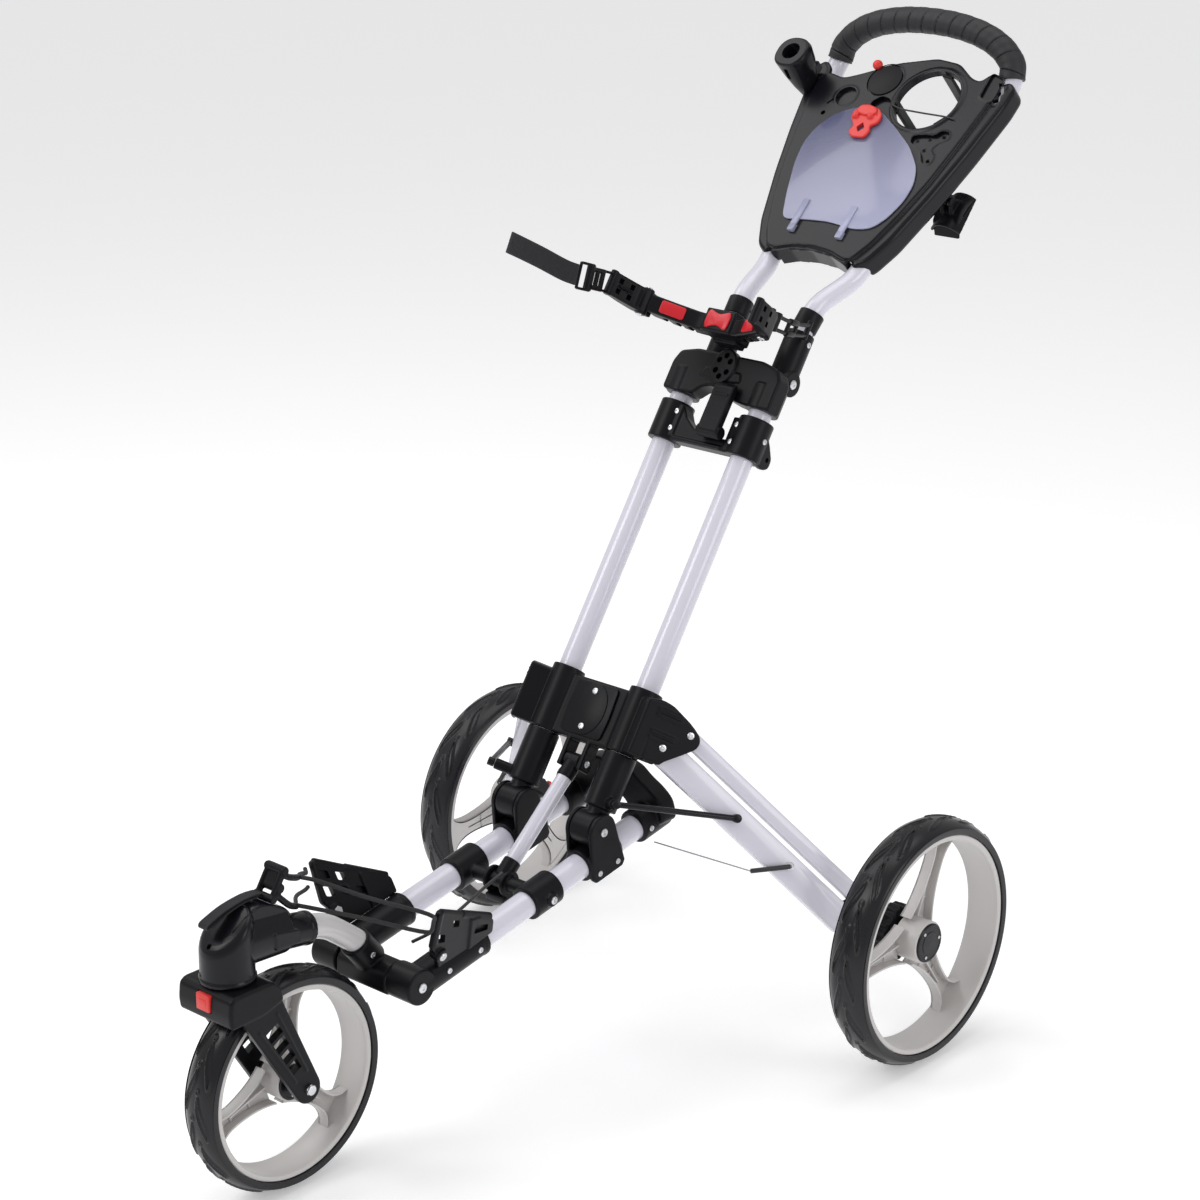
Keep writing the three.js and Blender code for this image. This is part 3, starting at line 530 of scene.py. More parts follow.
cord_object("elastic_loop_upper", [MAST(92, 602.5, 92), MAST(90, 604, 70), MAST(86, 609, 45), MAST(78, 618, 15), MAST(71, 626, -6)], 2.3, "mast", ELAST, ["elastic_cord"], far_end="object", stiffness="limp", lay="taut")
cord_object("elastic_loop_lower", [CHAS(-103, 208, 86), CHAS(-97, 204, 86), (-50, -599, 314), (-8, -640, 338), (2, -647, 341), (12, -638, 338), (50, -600, 317), CHAS(96, 208, 91), CHAS(104, 200, 92), CHAS(103, 196, 83), CHAS(94, 196, 78), (50, -607, 296), (12, -645, 309), (2, -654, 312), (-8, -646, 309), (-50, -608, 291), CHAS(-95, 198, 68), CHAS(-99, 204, 66)], 2.3, "chassis", ELAST, ["lower_elastic"], far_end="object", stiffness="limp", lay="taut")
cord_object("cup_cord", [CONS(-2, 213, 3.6), CONS(3, 211, 6), CONS(14, 208, 5.6), CONS(45, 206.5, 4.6), CONS(85, 204.5, 5.4), CONS(95, 203, 5.2), CONS(98, 202, 3.2)], 1.1, "handle", SLEEVE, [], slot="cable_sleeve", far_end="object", stiffness="limp", lay="taut")
cord_object("control_cable_lower", [(24, -372, 262), (24, -400, 254), (24, -440, 240), (24, -480, 229), (25, -512, 228)], 1.9, "chassis", SLEEVE, ["control_cable_front"])


# ---------------------------------------------------------------- wheels
def tyre(R, r_in, W, at, pitches, flip):
    """A foam tyre with a round crown and flame-shaped raised tread lines."""
    h = W / 2
    prof = [(r_in, -h + 0.6), (r_in + 3, -h), (r_in + 7, -h)]
    body_pts = 62
    for k in range(body_pts + 1):
        t = -1 + 2 * k / body_pts
        x = t * h
        drop = 1.5 + 8.0 * abs(t) ** 2.6
        edge = max(0.0, abs(t) - 0.86) / 0.14
        prof.append((R - drop - 1.6 * edge ** 2, x * (1 if abs(t) < 0.98 else 0.995)))
    prof += [(r_in + 7, h), (r_in + 3, h), (r_in, h - 0.6)]
    q = np.array(prof)
    seg = 480
    t = np.linspace(0, 2 * np.pi, seg, endpoint=False)
    rr = np.tile(q[:, 0], (seg, 1))
    xx = np.tile(q[:, 1], (seg, 1))
    u = t[:, None] * R / (2 * np.pi * R) * pitches
    bump = np.zeros_like(rr)
    for sgn, off in ((1, 0.0), (-1, 0.5)):
        loc = (u + off) % 1.0 * 2 - 1
        x = xx * sgn * (-1 if flip else 1)
        centre = 9.0 + 5.0 * np.sin(loc / 0.82 * 1.6)
        wide = 3.3 * np.clip(np.cos(loc / 0.82 * np.pi / 2), 0, 1) ** 0.7
        inside = (np.abs(loc) < 0.82)
        d = np.abs(x - centre)
        bump += np.where(inside, 1.7 * np.exp(-((d - wide) / 0.95) ** 2) - 0.7 * (d < wide - 0.9), 0)
        c2 = np.abs(((u + off + 0.5) % 1.0) * 2 - 1)
        e = np.sqrt((c2 / 0.085) ** 2 + ((x - 3.0) / 2.1) ** 2)
        bump += 1.3 * np.exp(-((e - 1) / 0.4) ** 2)
    on_crown = np.clip((rr - (R - 12)) / 3, 0, 1) * (np.arange(len(q))[None] > 3) * (np.arange(len(q))[None] < len(q) - 4)
    rr = np.minimum(rr + bump * on_crown * 0.9, R - 0.02)
    v = np.array(at, float) + np.stack([xx.ravel(), (rr * np.cos(t)[:, None]).ravel(), (rr * np.sin(t)[:, None]).ravel()], 1)
    k = len(q)
    f = [(i * k + j, i * k + (j + 1) % k, ((i + 1) % seg) * k + (j + 1) % k, ((i + 1) % seg) * k + j) for i in range(seg) for j in range(k)]
    return v, f


def rim(r_out, W, r_hub, in_x, out_x, spin, at):
    """A deep barrel with a rolled lip, three webbed spokes and a hub."""
    h = W / 2 - 3.4
    g = [lathe([(r_out, -h), (r_out, h), (r_out - 1.2, h + 1.2), (r_out - 5.5, h + 1.2), (r_out - 6.8, h), (r_out - 7.2, h - 3), (r_out - 6.4, h - 6), (r_out - 5.0, 0), (r_out - 5.8, -h + 6), (r_out - 8, -h + 1), (r_out - 6, -h)], at, 144)]
    g.append(rod((at[0] + in_x, at[1], at[2]), (at[0] + out_x, at[1], at[2]), r_hub, 64, c=1.5))
    span = r_out - 6
    for i in range(3):
        def edge(sgn, inset=0.0):
            pts = []
            for t in np.linspace(0, 1, 15):
                r = r_hub - 4 + (span - r_hub + 4) * t
                w = 9.0 + 15.0 * (1 - t) ** 3.2 + 17.0 * t ** 9
                pts.append((r, sgn * (w - inset)))
            return pts
        plate = edge(1) + edge(-1)[::-1]
        plate_geo = slab(plate, at[0] + in_x + 1, at[0] + in_x + 3.6, Frame((0, at[1], at[2]), X, (0, 1, 0), (0, 0, 1)), order="yzx", c=0.4)
        parts = [plate_geo]
        for sgn in (1, -1):
            rib = edge(sgn) + edge(sgn, 2.4)[::-1]
            parts.append(slab(rib, at[0] + in_x + 1, at[0] + in_x + 15, Frame((0, at[1], at[2]), X, (0, 1, 0), (0, 0, 1)), order="yzx", c=0.4))
        mid = [(r_hub - 2, -1.1), (span - 28, -1.0), (span - 28, 1.0), (r_hub - 2, 1.1)]
        parts.append(slab(mid, at[0] + in_x + 1, at[0] + in_x + 9, Frame((0, at[1], at[2]), X, (0, 1, 0), (0, 0, 1)), order="yzx", c=0.3))
        for rr_ in (r_hub + 22, r_hub + 48):
            parts.append(slab([(rr_, -10), (rr_ + 1.8, -10), (rr_ + 1.8, 10), (rr_, 10)], at[0] + in_x + 1, at[0] + in_x + 6, Frame((0, at[1], at[2]), X, (0, 1, 0), (0, 0, 1)), order="yzx", c=0.3))
        g += [turned(q, at, spin + 120 * i) for q in parts]
    return g


def hub_cap(at, out_x, r, spin):
    a = np.array(at, float)
    g = [lathe([(0.05, out_x), (r, out_x), (r, out_x + 1.2), (r - 1.2, out_x + 2.3), (r - 3.2, out_x + 2.5), (r - 3.8, out_x + 2.0), (r - 9, out_x + 2.1), (r - 9.6, out_x + 2.7), (0.05, out_x + 3.0)], a, 64)]
    s = [screw(a + vec(out_x + 2.1, (r - 5.8) * math.cos(rad(spin + 60 + 120 * i)), (r - 5.8) * math.sin(rad(spin + 60 + 120 * i))), X, 1.9, 1.0) for i in range(3)]
    return g, s


REAR = (323, 0, 146)
FRONT = (0, -679, 123)
pair("tyre_rear", [tyre(146, 130, 48, REAR, 15, False)], "rear_wheel_*", FOAM, "rear_tyre", angle=50)
make("tyre_front", [tyre(123, 108, 45, FRONT, 13, False)], "front_wheel", FOAM, ["front_tyre"], angle=50)
pair("rim_rear", rim(129.7, 48, 25, -20, 12, 66, REAR), "rear_wheel_*", RIM, "rear_rim")
make("rim_front", rim(107.7, 45, 22, -15, 15, 78, FRONT), "front_wheel", RIM, ["front_rim"])
cap, cap_screws = hub_cap(REAR, 12, 23, 66)
pair("hub_cap_rear", cap, "rear_wheel_*", SATIN, slot="black_plastic")
add_screws("rear_wheel_left", cap_screws)
add_screws("rear_wheel_right", other(cap_screws))
cap, cap_screws = hub_cap(FRONT, 15, 20, 78)
make("hub_cap_front_left", cap, "front_wheel", SATIN, slot="black_plastic")
make("hub_cap_front_right", other(cap), "front_wheel", SATIN, slot="black_plastic")
add_screws("front_wheel", cap_screws + other(cap_screws))

# ---------------------------------------------------------------- fork, axle and lock button
FY = -679
arm_out = [(-768, 236), (-766, 255), (-724, 255), (-711, 238)] + arc(FY, 123, 16.5, 25, -145, 12)
crown_out = [(-779, 226), (-781, 240), (-779, 257), (-772, 261.6), (-722, 261.6), (-711, 252), (-708, 236), (-735, 228)]
ad = unit(vec(0, FY + 741, 123 - 236))
an = np.cross(X, ad)
ARM = Frame((0, -741, 236), X, ad, an)
arm_windows = [box(-46, 46, 30 + 18 * i, 44 + 18 * i, -9.0 + i * 0.9, 9.0 - i * 0.9, ARM, c=0, r=2.6) for i in range(4)]
fork_adds = [slab(crown_out, -41, 41, order="yzx", r=5, c=3.0), slab(arm_out, 31, 40, order="yzx", r=3, c=1.4), slab(arm_out, -40, -31, order="yzx", r=3, c=1.4), rod((0, -748, 255), (0, -748, 300), 8)]
for s in (-1, 1):
    for e in (-1, 1):
        fork_adds.append(rod(ARM(s * 40, 20, e * 14), ARM(s * 40, 108, e * 8.5), 1.3, 12, c=0.4))
make("fork", fork_adds, "steering_fork", BLACK, ["front_fork"], voxel=0.9, smooth=4, keep=0.45,
     cuts=[rod((-27, FY, 123), (27, FY, 123), 128, 96, c=0), box(-11, 11, -790, -767, 237, 257, c=0, r=2), rod((-45, FY, 123), (45, FY, 123), 6.3, 32, c=0)] + arm_windows)
make("lock_button", [box(-10, 10, -783, -772, 238, 256, c=1.2, r=2.0), box(-6, 6, -783.6, -780, 243, 251, c=0.4, r=1.5)], "lock_button", CORAL, ["swivel_lock_button"])
make("axle_front", [rod((-45, FY, 123), (45, FY, 123), 5.6, 40)] + hexnut((40.2, FY, 123), X, 6.5, 3.4)[:1] + hexnut((-40.2, FY, 123), -X, 6.5, 3.4)[:1], "steering_fork", ZINC, ["front_axle"])

# ---------------------------------------------------------------- front arm
def head_ring(zc, r, tilt, seg=72):
    t = np.linspace(0, 2 * np.pi, seg, endpoint=False)
    return np.stack([r * np.cos(t), -748 + r * np.sin(t), zc + tilt * r * np.sin(t)], 1)


head_body = loft([head_ring(*q) for q in ((262, 27.4, 0), (263.2, 28.5, 0), (280, 28.5, 0.05), (296, 28.4, 0.30), (310, 28.2, 0.60), (315.5, 27.0, 0.64), (318.4, 25.0, 0.65), (320.2, 22.0, 0.65), (321.2, 16.0, 0.65), (321.5, 8.0, 0.65), (321.6, 1.0, 0.65))])
head_adds = [head_body, rod((0, -738, 298), (0, -678, 293), 27, 72, 25.5, c=1.6), rod((0, -700, 292), (0, -640, 281), 19.5, 64, 17.6, c=1.0), rod((0, -646, 282.1), (0, -639.6, 280.9), 18.4, 64, c=0.8),
             slab([(-745, 306), (-740, 324.5), (-716, 335), (-700, 332), (-679, 321.5), (-669, 310), (-690, 296)], -13, 13, order="yzx", r=6, c=2.2), slab([(-706, 286), (-706, 305), (-672, 299), (-672, 283)], -27.6, 27.6, order="yzx", r=3, c=1.5),
             rod((0, -748, 262), (0, -748, 267), 30, 72, c=1.0)]
make("steering_head", head_adds, "front_arm", SATIN, ["steering_head"], voxel=0.9, smooth=4, keep=0.4,
     cuts=[rod((0, -748, 255), (0, -748, 301), 9, 40, c=0), rod((0, -673, 287.4), (0, -630, 279.2), 14.6, 48, c=0), rod((0, -769, 296), (0, -772, 316), 2.7, 24, c=0)]
     + [pipe([(x, -752, 318), (x, -738, 327.5), (x, -716, 333.8 - abs(x) * 0.06), (x * 0.9, -699, 329.5), (x * 0.8, -680, 320)], 0.9, 12, 5) for x in (-15.5, 15.5)])
goose = [(0, -670, 286.8), (0, -655, 284), (0, -640, 281), (0, -624, 277.5), (0, -609, 270.5), (0, -595, 260.5), (0, -581, 249.6), (0, -567, 238.5)]
make("gooseneck", [pipe(goose, 13.5, 48, 8)], "front_arm", NECK, ["gooseneck_tube"])
bar_sec = [(-566, 190), (-560, 186), (-545, 184.5), (-533, 190), (-529, 203), (-533, 215), (-543, 221.5), (-556, 220), (-566, 210)]
make("hinge_bar", [slab(bar_sec, -37.4, 37.4, order="yzx", r=5, c=1.2), rod((0, -550, 214), (0, -573.5, 243), 17.5, 48, c=2)], "front_arm", BLACK, ["front_hinge_bar"], voxel=0.8, keep=0.4,
     cuts=[rod((0, -562, 234), (0, -581, 249.8), 14.6, 48, c=0)] + [box(x - 3.2, x + 3.2, -561, -536, 180, 190, c=0, r=1) for x in (-30, -20, -10, 0, 10, 20, 30)])
add_screws("front_arm", [screw((17.4, -563, 228), (1, 0, 0)), screw((-17.4, -563, 228), (-1, 0, 0))])

# ---------------------------------------------------------------- chassis
pair("chassis_rail", [rod(CHAS(57.5, 222.3, 0), CHAS(57.5, 590, 0), 15, 64, c=0.4)], "chassis", WHITE, "chassis_tube")
pair("front_elbow", [rod(CHAS(57.5, 196, 0), CHAS(57.5, 296, 0), 19, 56, c=1.5), rod((38.4, -548, 203), (76, -548, 203), 20, 64, c=2), rod(CHAS(57.5, 290, 0), CHAS(57.5, 296, 0), 19.6, 56, c=0.6)], "chassis", BLACK, "front_corner",
     voxel=0.9, keep=0.4, cuts=[rod(CHAS(57.5, 222, 0), CHAS(57.5, 300, 0), 15.3, 48, c=0)])
ts = (-350 + 735.2) / math.cos(cr)
yoke = []
for s in (-1, 1):
    yoke += [rod(CHAS(s * 57.5, ts - 21, 0), CHAS(s * 57.5, ts + 21, 0), 20, 56, c=1.2), rod(CHAS(s * 40, ts, 0), CHAS(s * 13, ts, 0), 9, 40), rod(CHAS(s * 10.5, ts, 0), CHAS(s * 14.5, ts, 0), 15, 48), rod((s * 70, -350, 239), (s * 81, -350, 239), 8, 32, c=1.2)]
yoke.append(box(-14.5, 14.5, ts - 14, ts + 14, -20, -12.5, CHAS))
make("strut_yoke", yoke, "chassis", BLACK, ["strut_yoke"], voxel=0.9, keep=0.4, cuts=[rod(CHAS(s * 57.5, ts - 25, 0), CHAS(s * 57.5, ts + 25, 0), 15.3, 48, c=0) for s in (-1, 1)])
tp = (-265 + 735.2) * math.cos(cr) + (291.5 - 162.2) * math.sin(cr)
qp = -(-265 + 735.2) * math.sin(cr) + (291.5 - 162.2) * math.cos(cr)
plate = arc(tp, qp, 20.5, 180, 0, 16) + [(tp + 24, 6), (tp + 27, -14), (tp + 22, -19.5), (tp - 22, -19.5), (tp - 27, -14), (tp - 24, 6)]
pair("mast_clevis", [rod(CHAS(57.5, tp - 27, 0), CHAS(57.5, tp + 27, 0), 19.3, 56, c=1.2), slab(plate, 37.6, 42.7, CHAS, order="yzx", r=2, c=1.0), slab(plate, 72.4, 77.8, CHAS, order="yzx", r=2, c=1.0)], "chassis", BLACK, "mast_clevis",
     voxel=0.8, keep=0.4, cuts=[rod(CHAS(57.5, tp - 30, 0), CHAS(57.5, tp + 30, 0), 15.3, 48, c=0), rod((42.7, -265, 291.5), (72.4, -265, 291.5), 21, 64, c=0)])
arch = [(-86, 276), (-80, 298), (-66, 309), (-48, 318), (-34, 328), (-20, 331), (20, 331), (34, 328), (48, 318), (66, 309), (80, 298), (86, 276), (72, 268), (38, 272), (26, 290), (0, 300), (-26, 290), (-38, 272), (-72, 268)]
SAD = Frame((0, -156, 0), X, (0, 0, 1), (0, -1, 0))
make("rear_saddle", [slab(arch, -8, 17, SAD, r=8, c=2.5), rod(CHAS(57.5, 553, 0), CHAS(57.5, 600, 0), 20, 56, c=2), rod(CHAS(-57.5, 553, 0), CHAS(-57.5, 600, 0), 20, 56, c=2)], "chassis", BLACK, ["rear_saddle"],
     voxel=1.0, keep=0.4, cuts=[rod(CHAS(s * 57.5, 545, 0), CHAS(s * 57.5, 590.5, 0), 15.3, 48, c=0) for s in (-1, 1)])
for s in (-1, 1):
    add_screws("chassis", [screw(CHAS(s * 76.6, 232, 2), (s, 0, 0)), screw(CHAS(s * 76.4, 280, 0), (s, 0, 0)), screw((s * 81, -350, 239), (s, 0, 0), 4.6, 2), screw((s * 77.8, -265, 291.5), (s, 0, 0), 5, 2.2),
                           screw(CHAS(s * 77.6, tp - 15, -10), (s, 0, 0)), screw(CHAS(s * 77.6, tp + 15, -10), (s, 0, 0)), screw(CHAS(s * 77.4, 562, 0), (s, 0, 0)), screw(CHAS(s * 77.4, 584, 0), (s, 0, 0)), screw((s * 76, -548, 203), (s, 0, 0), 5.5, 2.2)])

# ---------------------------------------------------------------- strut
make("strut_tube", [rod(STRUT(0, 15, 0), STRUT(0, SL - 16, 0), 9, 48, c=0.4)], "strut", WHITE, ["strut"])
make("strut_ends", [rod(STRUT(-9.8, 0, 0), STRUT(9.8, 0, 0), 9.5, 40), rod(STRUT(0, 3, 0), STRUT(0, 26, 0), 10.4, 40, c=1.0), rod(STRUT(-10.5, SL, 0), STRUT(10.5, SL, 0), 9, 40), rod(STRUT(0, SL - 24, 0), STRUT(0, SL - 3, 0), 10.0, 40, c=1.0)], "strut", BLACK, voxel=0.7, keep=0.4, slot="black_plastic")

# ---------------------------------------------------------------- mast
foot = [rod((43.2, -265, 291.5), (71.9, -265, 291.5), 20, 56, c=1.5), rod(MAST(58.8, 0, 0), MAST(58.8, 30, 0), 13, 48), rod(MAST(58.8, 24, 0), MAST(58.8, 88, 0), 19, 56, c=1.0), rod(LEGF(-25, -78, -16), LEGF(-25, -78, 8.5), 6.5, 32)]
pair("mast_foot", foot, "mast", BLACK, "mast_foot", voxel=0.9, keep=0.4, cuts=[rod(MAST(58.8, 30, 0), MAST(58.8, 95, 0), 14.05, 48, c=0)])
pair("mast_rail", [rod(MAST(58.8, 28.6, 0), MAST(58.8, 538, 0), 13.75, 64, c=0.4)], "mast", WHITE, "mast_tube")
mid = [rod(MAST(s * 58.8, 452, 0), MAST(s * 58.8, 500, 0), 20.5, 56, c=1.2) for s in (-1, 1)]
mid += [slab([(-46, 453), (46, 453), (46, 468), (2, 468), (-14, 472), (-30, 483), (-40, 497), (-46, 497)], -7, 13, MAST, r=3, c=1.6), box(-50, -38, 456, 497, -6, 15, MAST, c=2), box(36, 50, 456, 496, -6, 15, MAST, c=2), box(-40, 34, 454, 458, 11, 15.5, MAST, c=1)]
ear2 = [(452, 0), (490, 0), (482, -14), (466, -29), (455, -29), (450, -20)]
mid += [slab(ear2, x0, x0 + 8, MAST, order="yzx", r=6, c=1.5) for x0 in (-77, 69)]
make("mid_collar", mid, "mast", BLACK, ["mid_collar"], voxel=0.9, keep=0.4, cuts=[rod(MAST(s * 58.8, 440, 0), MAST(s * 58.8, 510, 0), 14.05, 48, c=0) for s in (-1, 1)] + [rod(MAST(60, 463, -20), MAST(90, 463, -20), 3, 24, c=0), rod(MAST(-90, 463, -20), MAST(-60, 463, -20), 3, 24, c=0)])
up_out = [(-78, 511), (-78, 546), (-72, 560), (-48, 566), (48, 566), (73, 560), (81, 547), (81, 510), (47, 510), (30, 512), (14, 516), (-2, 523), (-13, 525), (-24, 521), (-34, 511)]
upb = [rod(MAST(s * 58.8, 510, 0), MAST(s * 58.8, 541, 0), 20.5, 56, c=1.5) for s in (-1, 1)] + [slab(up_out, -5, 19, MAST, r=4, c=2.6), slab([(17 * math.cos(a), 549 + 22 * math.sin(a)) for a in np.linspace(0, 2 * np.pi, 40, endpoint=False)], 10, 24, MAST, c=1.5), slab([(-30, 534), (-26, 545), (26, 545), (30, 534), (0, 530)], 12, 21, MAST, r=3, c=1.5)]
upb += [slab([(552, -38), (563, -33), (568, -20), (564, -3), (540, -3), (542, -16)], x, x + 10, MAST, order="yzx", r=4, c=1.2) for x in (-28, 18)]
make("upper_bracket", upb, "mast", BLACK, ["upper_bracket"], voxel=0.9, keep=0.4, cuts=[rod(MAST(s * 58.8, 500, 0), MAST(s * 58.8, 538.4, 0), 14.05, 48, c=0) for s in (-1, 1)]
     + [rod(MAST(9.2 * math.cos(rad(a)), 549 + 13 * math.sin(rad(a)), 19), MAST(9.2 * math.cos(rad(a)), 549 + 13 * math.sin(rad(a)), 32), 3.7, 20, c=0) for a in range(30, 390, 60)])
for s in (-1, 1):
    add_screws("mast", [screw(MAST(s * 45, 466, 15), mq), screw(MAST(s * 45, 487, 15), mq), screw(MAST(s * 79, 520, 4), (s, 0, 0)), screw(MAST(s * 79, 533, 4), (s, 0, 0)), screw(MAST(s * 79.2, 478, 0), (s, 0, 0))])
make("fold_latch", [slab([(470, 13.4), (476, 21.5), (526, 21.5), (530, 26), (524, 31.5), (468, 32), (462, 22)], 5, 33, MAST, order="yzx", r=3, c=1.4), rod(MAST(2, 470, 23), MAST(35, 470, 23), 7.5, 40), box(8, 30, 512, 515, 30, 33, MAST, c=0.8)], "fold_latch", BLACK, ["fold_latch"], voxel=0.6, keep=0.4)

# ---------------------------------------------------------------- upper cradle
arm_c = [(20, 40), (34, 42), (62, 56), (84, 73), (84, 93), (56, 76), (30, 62), (20, 60)]
CR = Frame(MAST(0, 0, 0), X, mq, -m)


def across(pts, s0, s1, **k):
    return slab(pts, -s1, -s0, CR, **k)


cradle = [box(-22, 22, 575, 603, 20, 63, MAST, c=2.5, r=2), box(-17, 17, 571.3, 577, 20, 40, MAST), across(arm_c, 575, 596, r=4, c=2), mirrored(across(arm_c, 575, 596, r=4, c=2))]
make("cradle_bar", cradle, "mast", BLACK, ["cradle_bar"], voxel=0.8, keep=0.4, cuts=[box(x - 3.5, x + 3.5, 571, 578, 28 + abs(x) * 0.45, 44 + abs(x) * 0.45, MAST, c=0, r=1) for x in (-66, -52, -38, 38, 52, 66)])
bow = [(-14, 577.5), (-7, 580.5), (0, 582.5), (7, 580.5), (14, 577.5), (17, 583), (17, 596), (14, 600.5), (7, 598), (0, 596), (-7, 598), (-14, 600.5), (-17, 596), (-17, 583)]
make("pad_centre", [slab(bow, 62, 65.2, MAST, r=3, c=1.2)], "mast", RED, slot="coral_plastic")
dx, dq = unit((54, 33))
for s, side in ((1, "left"), (-1, "right")):
    ex = vec(s * dx, 0, 0) + mq * dq
    nn = unit(mq * dx - vec(s * dq, 0, 0))
    PF = Frame(MAST(s * 57, 585.5, 76.6), ex, m, nn)
    make("pad_side_" + side, [slab([(-15, -7.5), (15, -7.5), (15, 7.5), (-15, 7.5)], -1.2, 2.4, PF, r=3, c=1.0)], "mast", RED, slot="coral_plastic")
end = [(84.4, 76), (93, 79), (104, 94), (110, 116), (112, 138), (104, 141), (97, 122), (90, 104), (84.4, 95)]
tip_slots = [box(84, 122, s0, s0 + 6.5, q0, q0 + 5.5, MAST, c=0, r=1) for s0, q0 in ((575.5, 111), (588, 111), (575.5, 126), (588, 126))]
pair("cradle_tip", [across(end, 571, 599, r=3, c=1.6), rod(MAST(90, 569.5, 90), MAST(90, 601, 90), 7.0, 40, c=1.2), rod(MAST(107, 570, 137), MAST(107, 600, 137), 4.6, 32, c=1), across([(86, 96), (92, 96), (90, 104), (86, 102)], 574, 596, c=1), box(93, 99, 583, 586.5, 96, 132, MAST, c=0.8)], "cradle_end_*", BLACK, "cradle_end", voxel=0.7, keep=0.4,
     cuts=tip_slots)
for side_, s in (("left", 1), ("right", -1)):
    add_screws("cradle_end_" + side_, [screw(MAST(s * 90, 601, 90), m, 4.0, 1.8), screw(MAST(s * 90, 569.5, 90), -m, 4.4, 2.0), screw(MAST(s * 100.5, 579, 119), -X * s, 1.9, 0.8), screw(MAST(s * 100.5, 591, 119), -X * s, 1.9, 0.8)])


def webbing(path, width, thick, wide, per=8):
    q = curve(path, per)
    tan = np.gradient(q, axis=0)
    tan /= np.linalg.norm(tan, axis=1)[:, None]
    rings = []
    for a, t in zip(q, tan):
        w = unit(wide - np.dot(wide, t) * t)
        nn = np.cross(t, w)
        sec = []
        for u, h in [(-1, -0.5), (-0.96, -1), (-0.5, -1), (0, -1), (0.5, -1), (0.96, -1), (1, -0.5), (1, 0.5), (0.96, 1), (0.5, 1), (0, 1), (-0.5, 1), (-0.96, 1), (-1, 0.5)]:
            sec.append(a + w * u * width / 2 + nn * h * thick / 2)
        rings.append(np.array(sec))
    L = float(np.linalg.norm(np.diff(q, axis=0), axis=1).sum())
    return loft(rings), L


strap, Ls = webbing([MAST(-103, 566, 199), MAST(-106, 563, 215), MAST(-107, 558, 260), MAST(-104, 552, 300), MAST(-100, 548, 322)], 24, 2.2, m)
so = make("bag_strap", [strap], "cradle_end_right", WEB, ["bag_strap"])
# buckle and ladder links between the cradle tip and the strap
bd = unit(MAST(-103, 566, 200) - MAST(-108, 584, 139))
bw = unit(m - m.dot(bd) * bd)
BK = Frame(MAST(-108, 584, 139), np.cross(bw, bd), bw, bd)
bk = [rod(BK(0, -11, 0), BK(0, -11, 16), 1.7, 20), rod(BK(0, 11, 0), BK(0, 11, 16), 1.7, 20), box(-2.2, 2.2, -13, 13, 12, 18, BK, c=1.0, r=1.5), box(-2.2, 2.2, -13, -7.5, 16, 36, BK, c=1.0, r=1.5), box(-2.2, 2.2, 7.5, 13, 16, 36, BK, c=1.0, r=1.5),
      box(-2.2, 2.2, -9, 9, 22.5, 28, BK, c=1.0), rod(BK(-0.5, -16, 39), BK(-0.5, 16, 39), 4.6, 32, c=1.2), box(-3.4, 3.4, -15, 15, 34, 41, BK, c=1.2), rod(BK(0, -14.5, 41), BK(0, -14.5, 59), 1.7, 20), rod(BK(0, 14.5, 41), BK(0, 14.5, 59), 1.7, 20), rod(BK(0, -15.5, 59), BK(0, 15.5, 59), 1.9, 20)]
make("strap_buckle", bk, "cradle_end_right", BLACK, voxel=0.7, keep=0.4, slot="black_plastic")

hook_a = curve([MAST(92, 586, 92), MAST(90, 589, 70), MAST(86, 595, 45), MAST(78, 605, 15), MAST(71, 613, -6)], 6)
hook_b = curve([MAST(92, 602.5, 92), MAST(90, 604, 70), MAST(86, 609, 45), MAST(78, 618, 15), MAST(71, 626, -6)], 6)
make("cradle_hook", [pipe(hook_a, 2.3, 16), rod(hook_a[11], hook_b[11], 2.6, 20), rod(hook_a[15], hook_b[15], 2.6, 20), rod(hook_a[11], hook_a[15], 3.8, 24), rod(hook_b[11], hook_b[15], 3.8, 24), rod(hook_a[4] - m * 3, hook_b[4] + m * 3, 4.5, 24, c=1), rod(hook_a[-1] - m * 5, hook_b[-1] + m * 5, 3.4, 24, c=1), rod(hook_a[0] - m * 3, hook_b[0] + m * 3, 4.0, 24, c=1)], "mast", BLACK, slot="black_plastic")

# ---------------------------------------------------------------- handle
hs = [rod(MAST(50, 553, -24), MAST(50, 620, -24), 17, 56, c=1.5), rod(MAST(33, 558, -24), MAST(67, 558, -24), 15, 48)]
pair("handle_sleeve", hs, "handle", BLACK, "handle_sleeve", voxel=0.8, keep=0.4, cuts=[rod(MAST(50, 573.2, -24), MAST(50, 626, -24), 13.9, 48, c=0)])
add_screws("handle", [screw(MAST(s * 67, 558, -24), (s, 0, 0), 5.5, 2.4) for s in (-1, 1)] + [screw(MAST(s * 66.8, 608, -24), (s, 0, 0)) for s in (-1, 1)])
side = [MAST(50, 575, -24), MAST(50.5, 605, -24), MAST(51.5, 632, -24.5), MAST(54, 658, -29), CONS(64, -22, -17), CONS(70, 15, -17), CONS(84, 70, -17), CONS(104, 150, -17), CONS(120, 220, -17), CONS(126, 250, -17), CONS(128.5, 268, -16.5)]
top = [(127.5, 396, 1056), (124, 401, 1073), (109, 403.5, 1089), (84, 404.5, 1102), (46, 405, 1111), (0, 405, 1114)]
half = [tuple(q) for q in side] + top
full = half + [(-x, y, z) for x, y, z in half[:-1][::-1]]
make("handle_loop", [pipe(full, 12.4, 40, 6)], "handle", WHITE, ["handle_tube"])
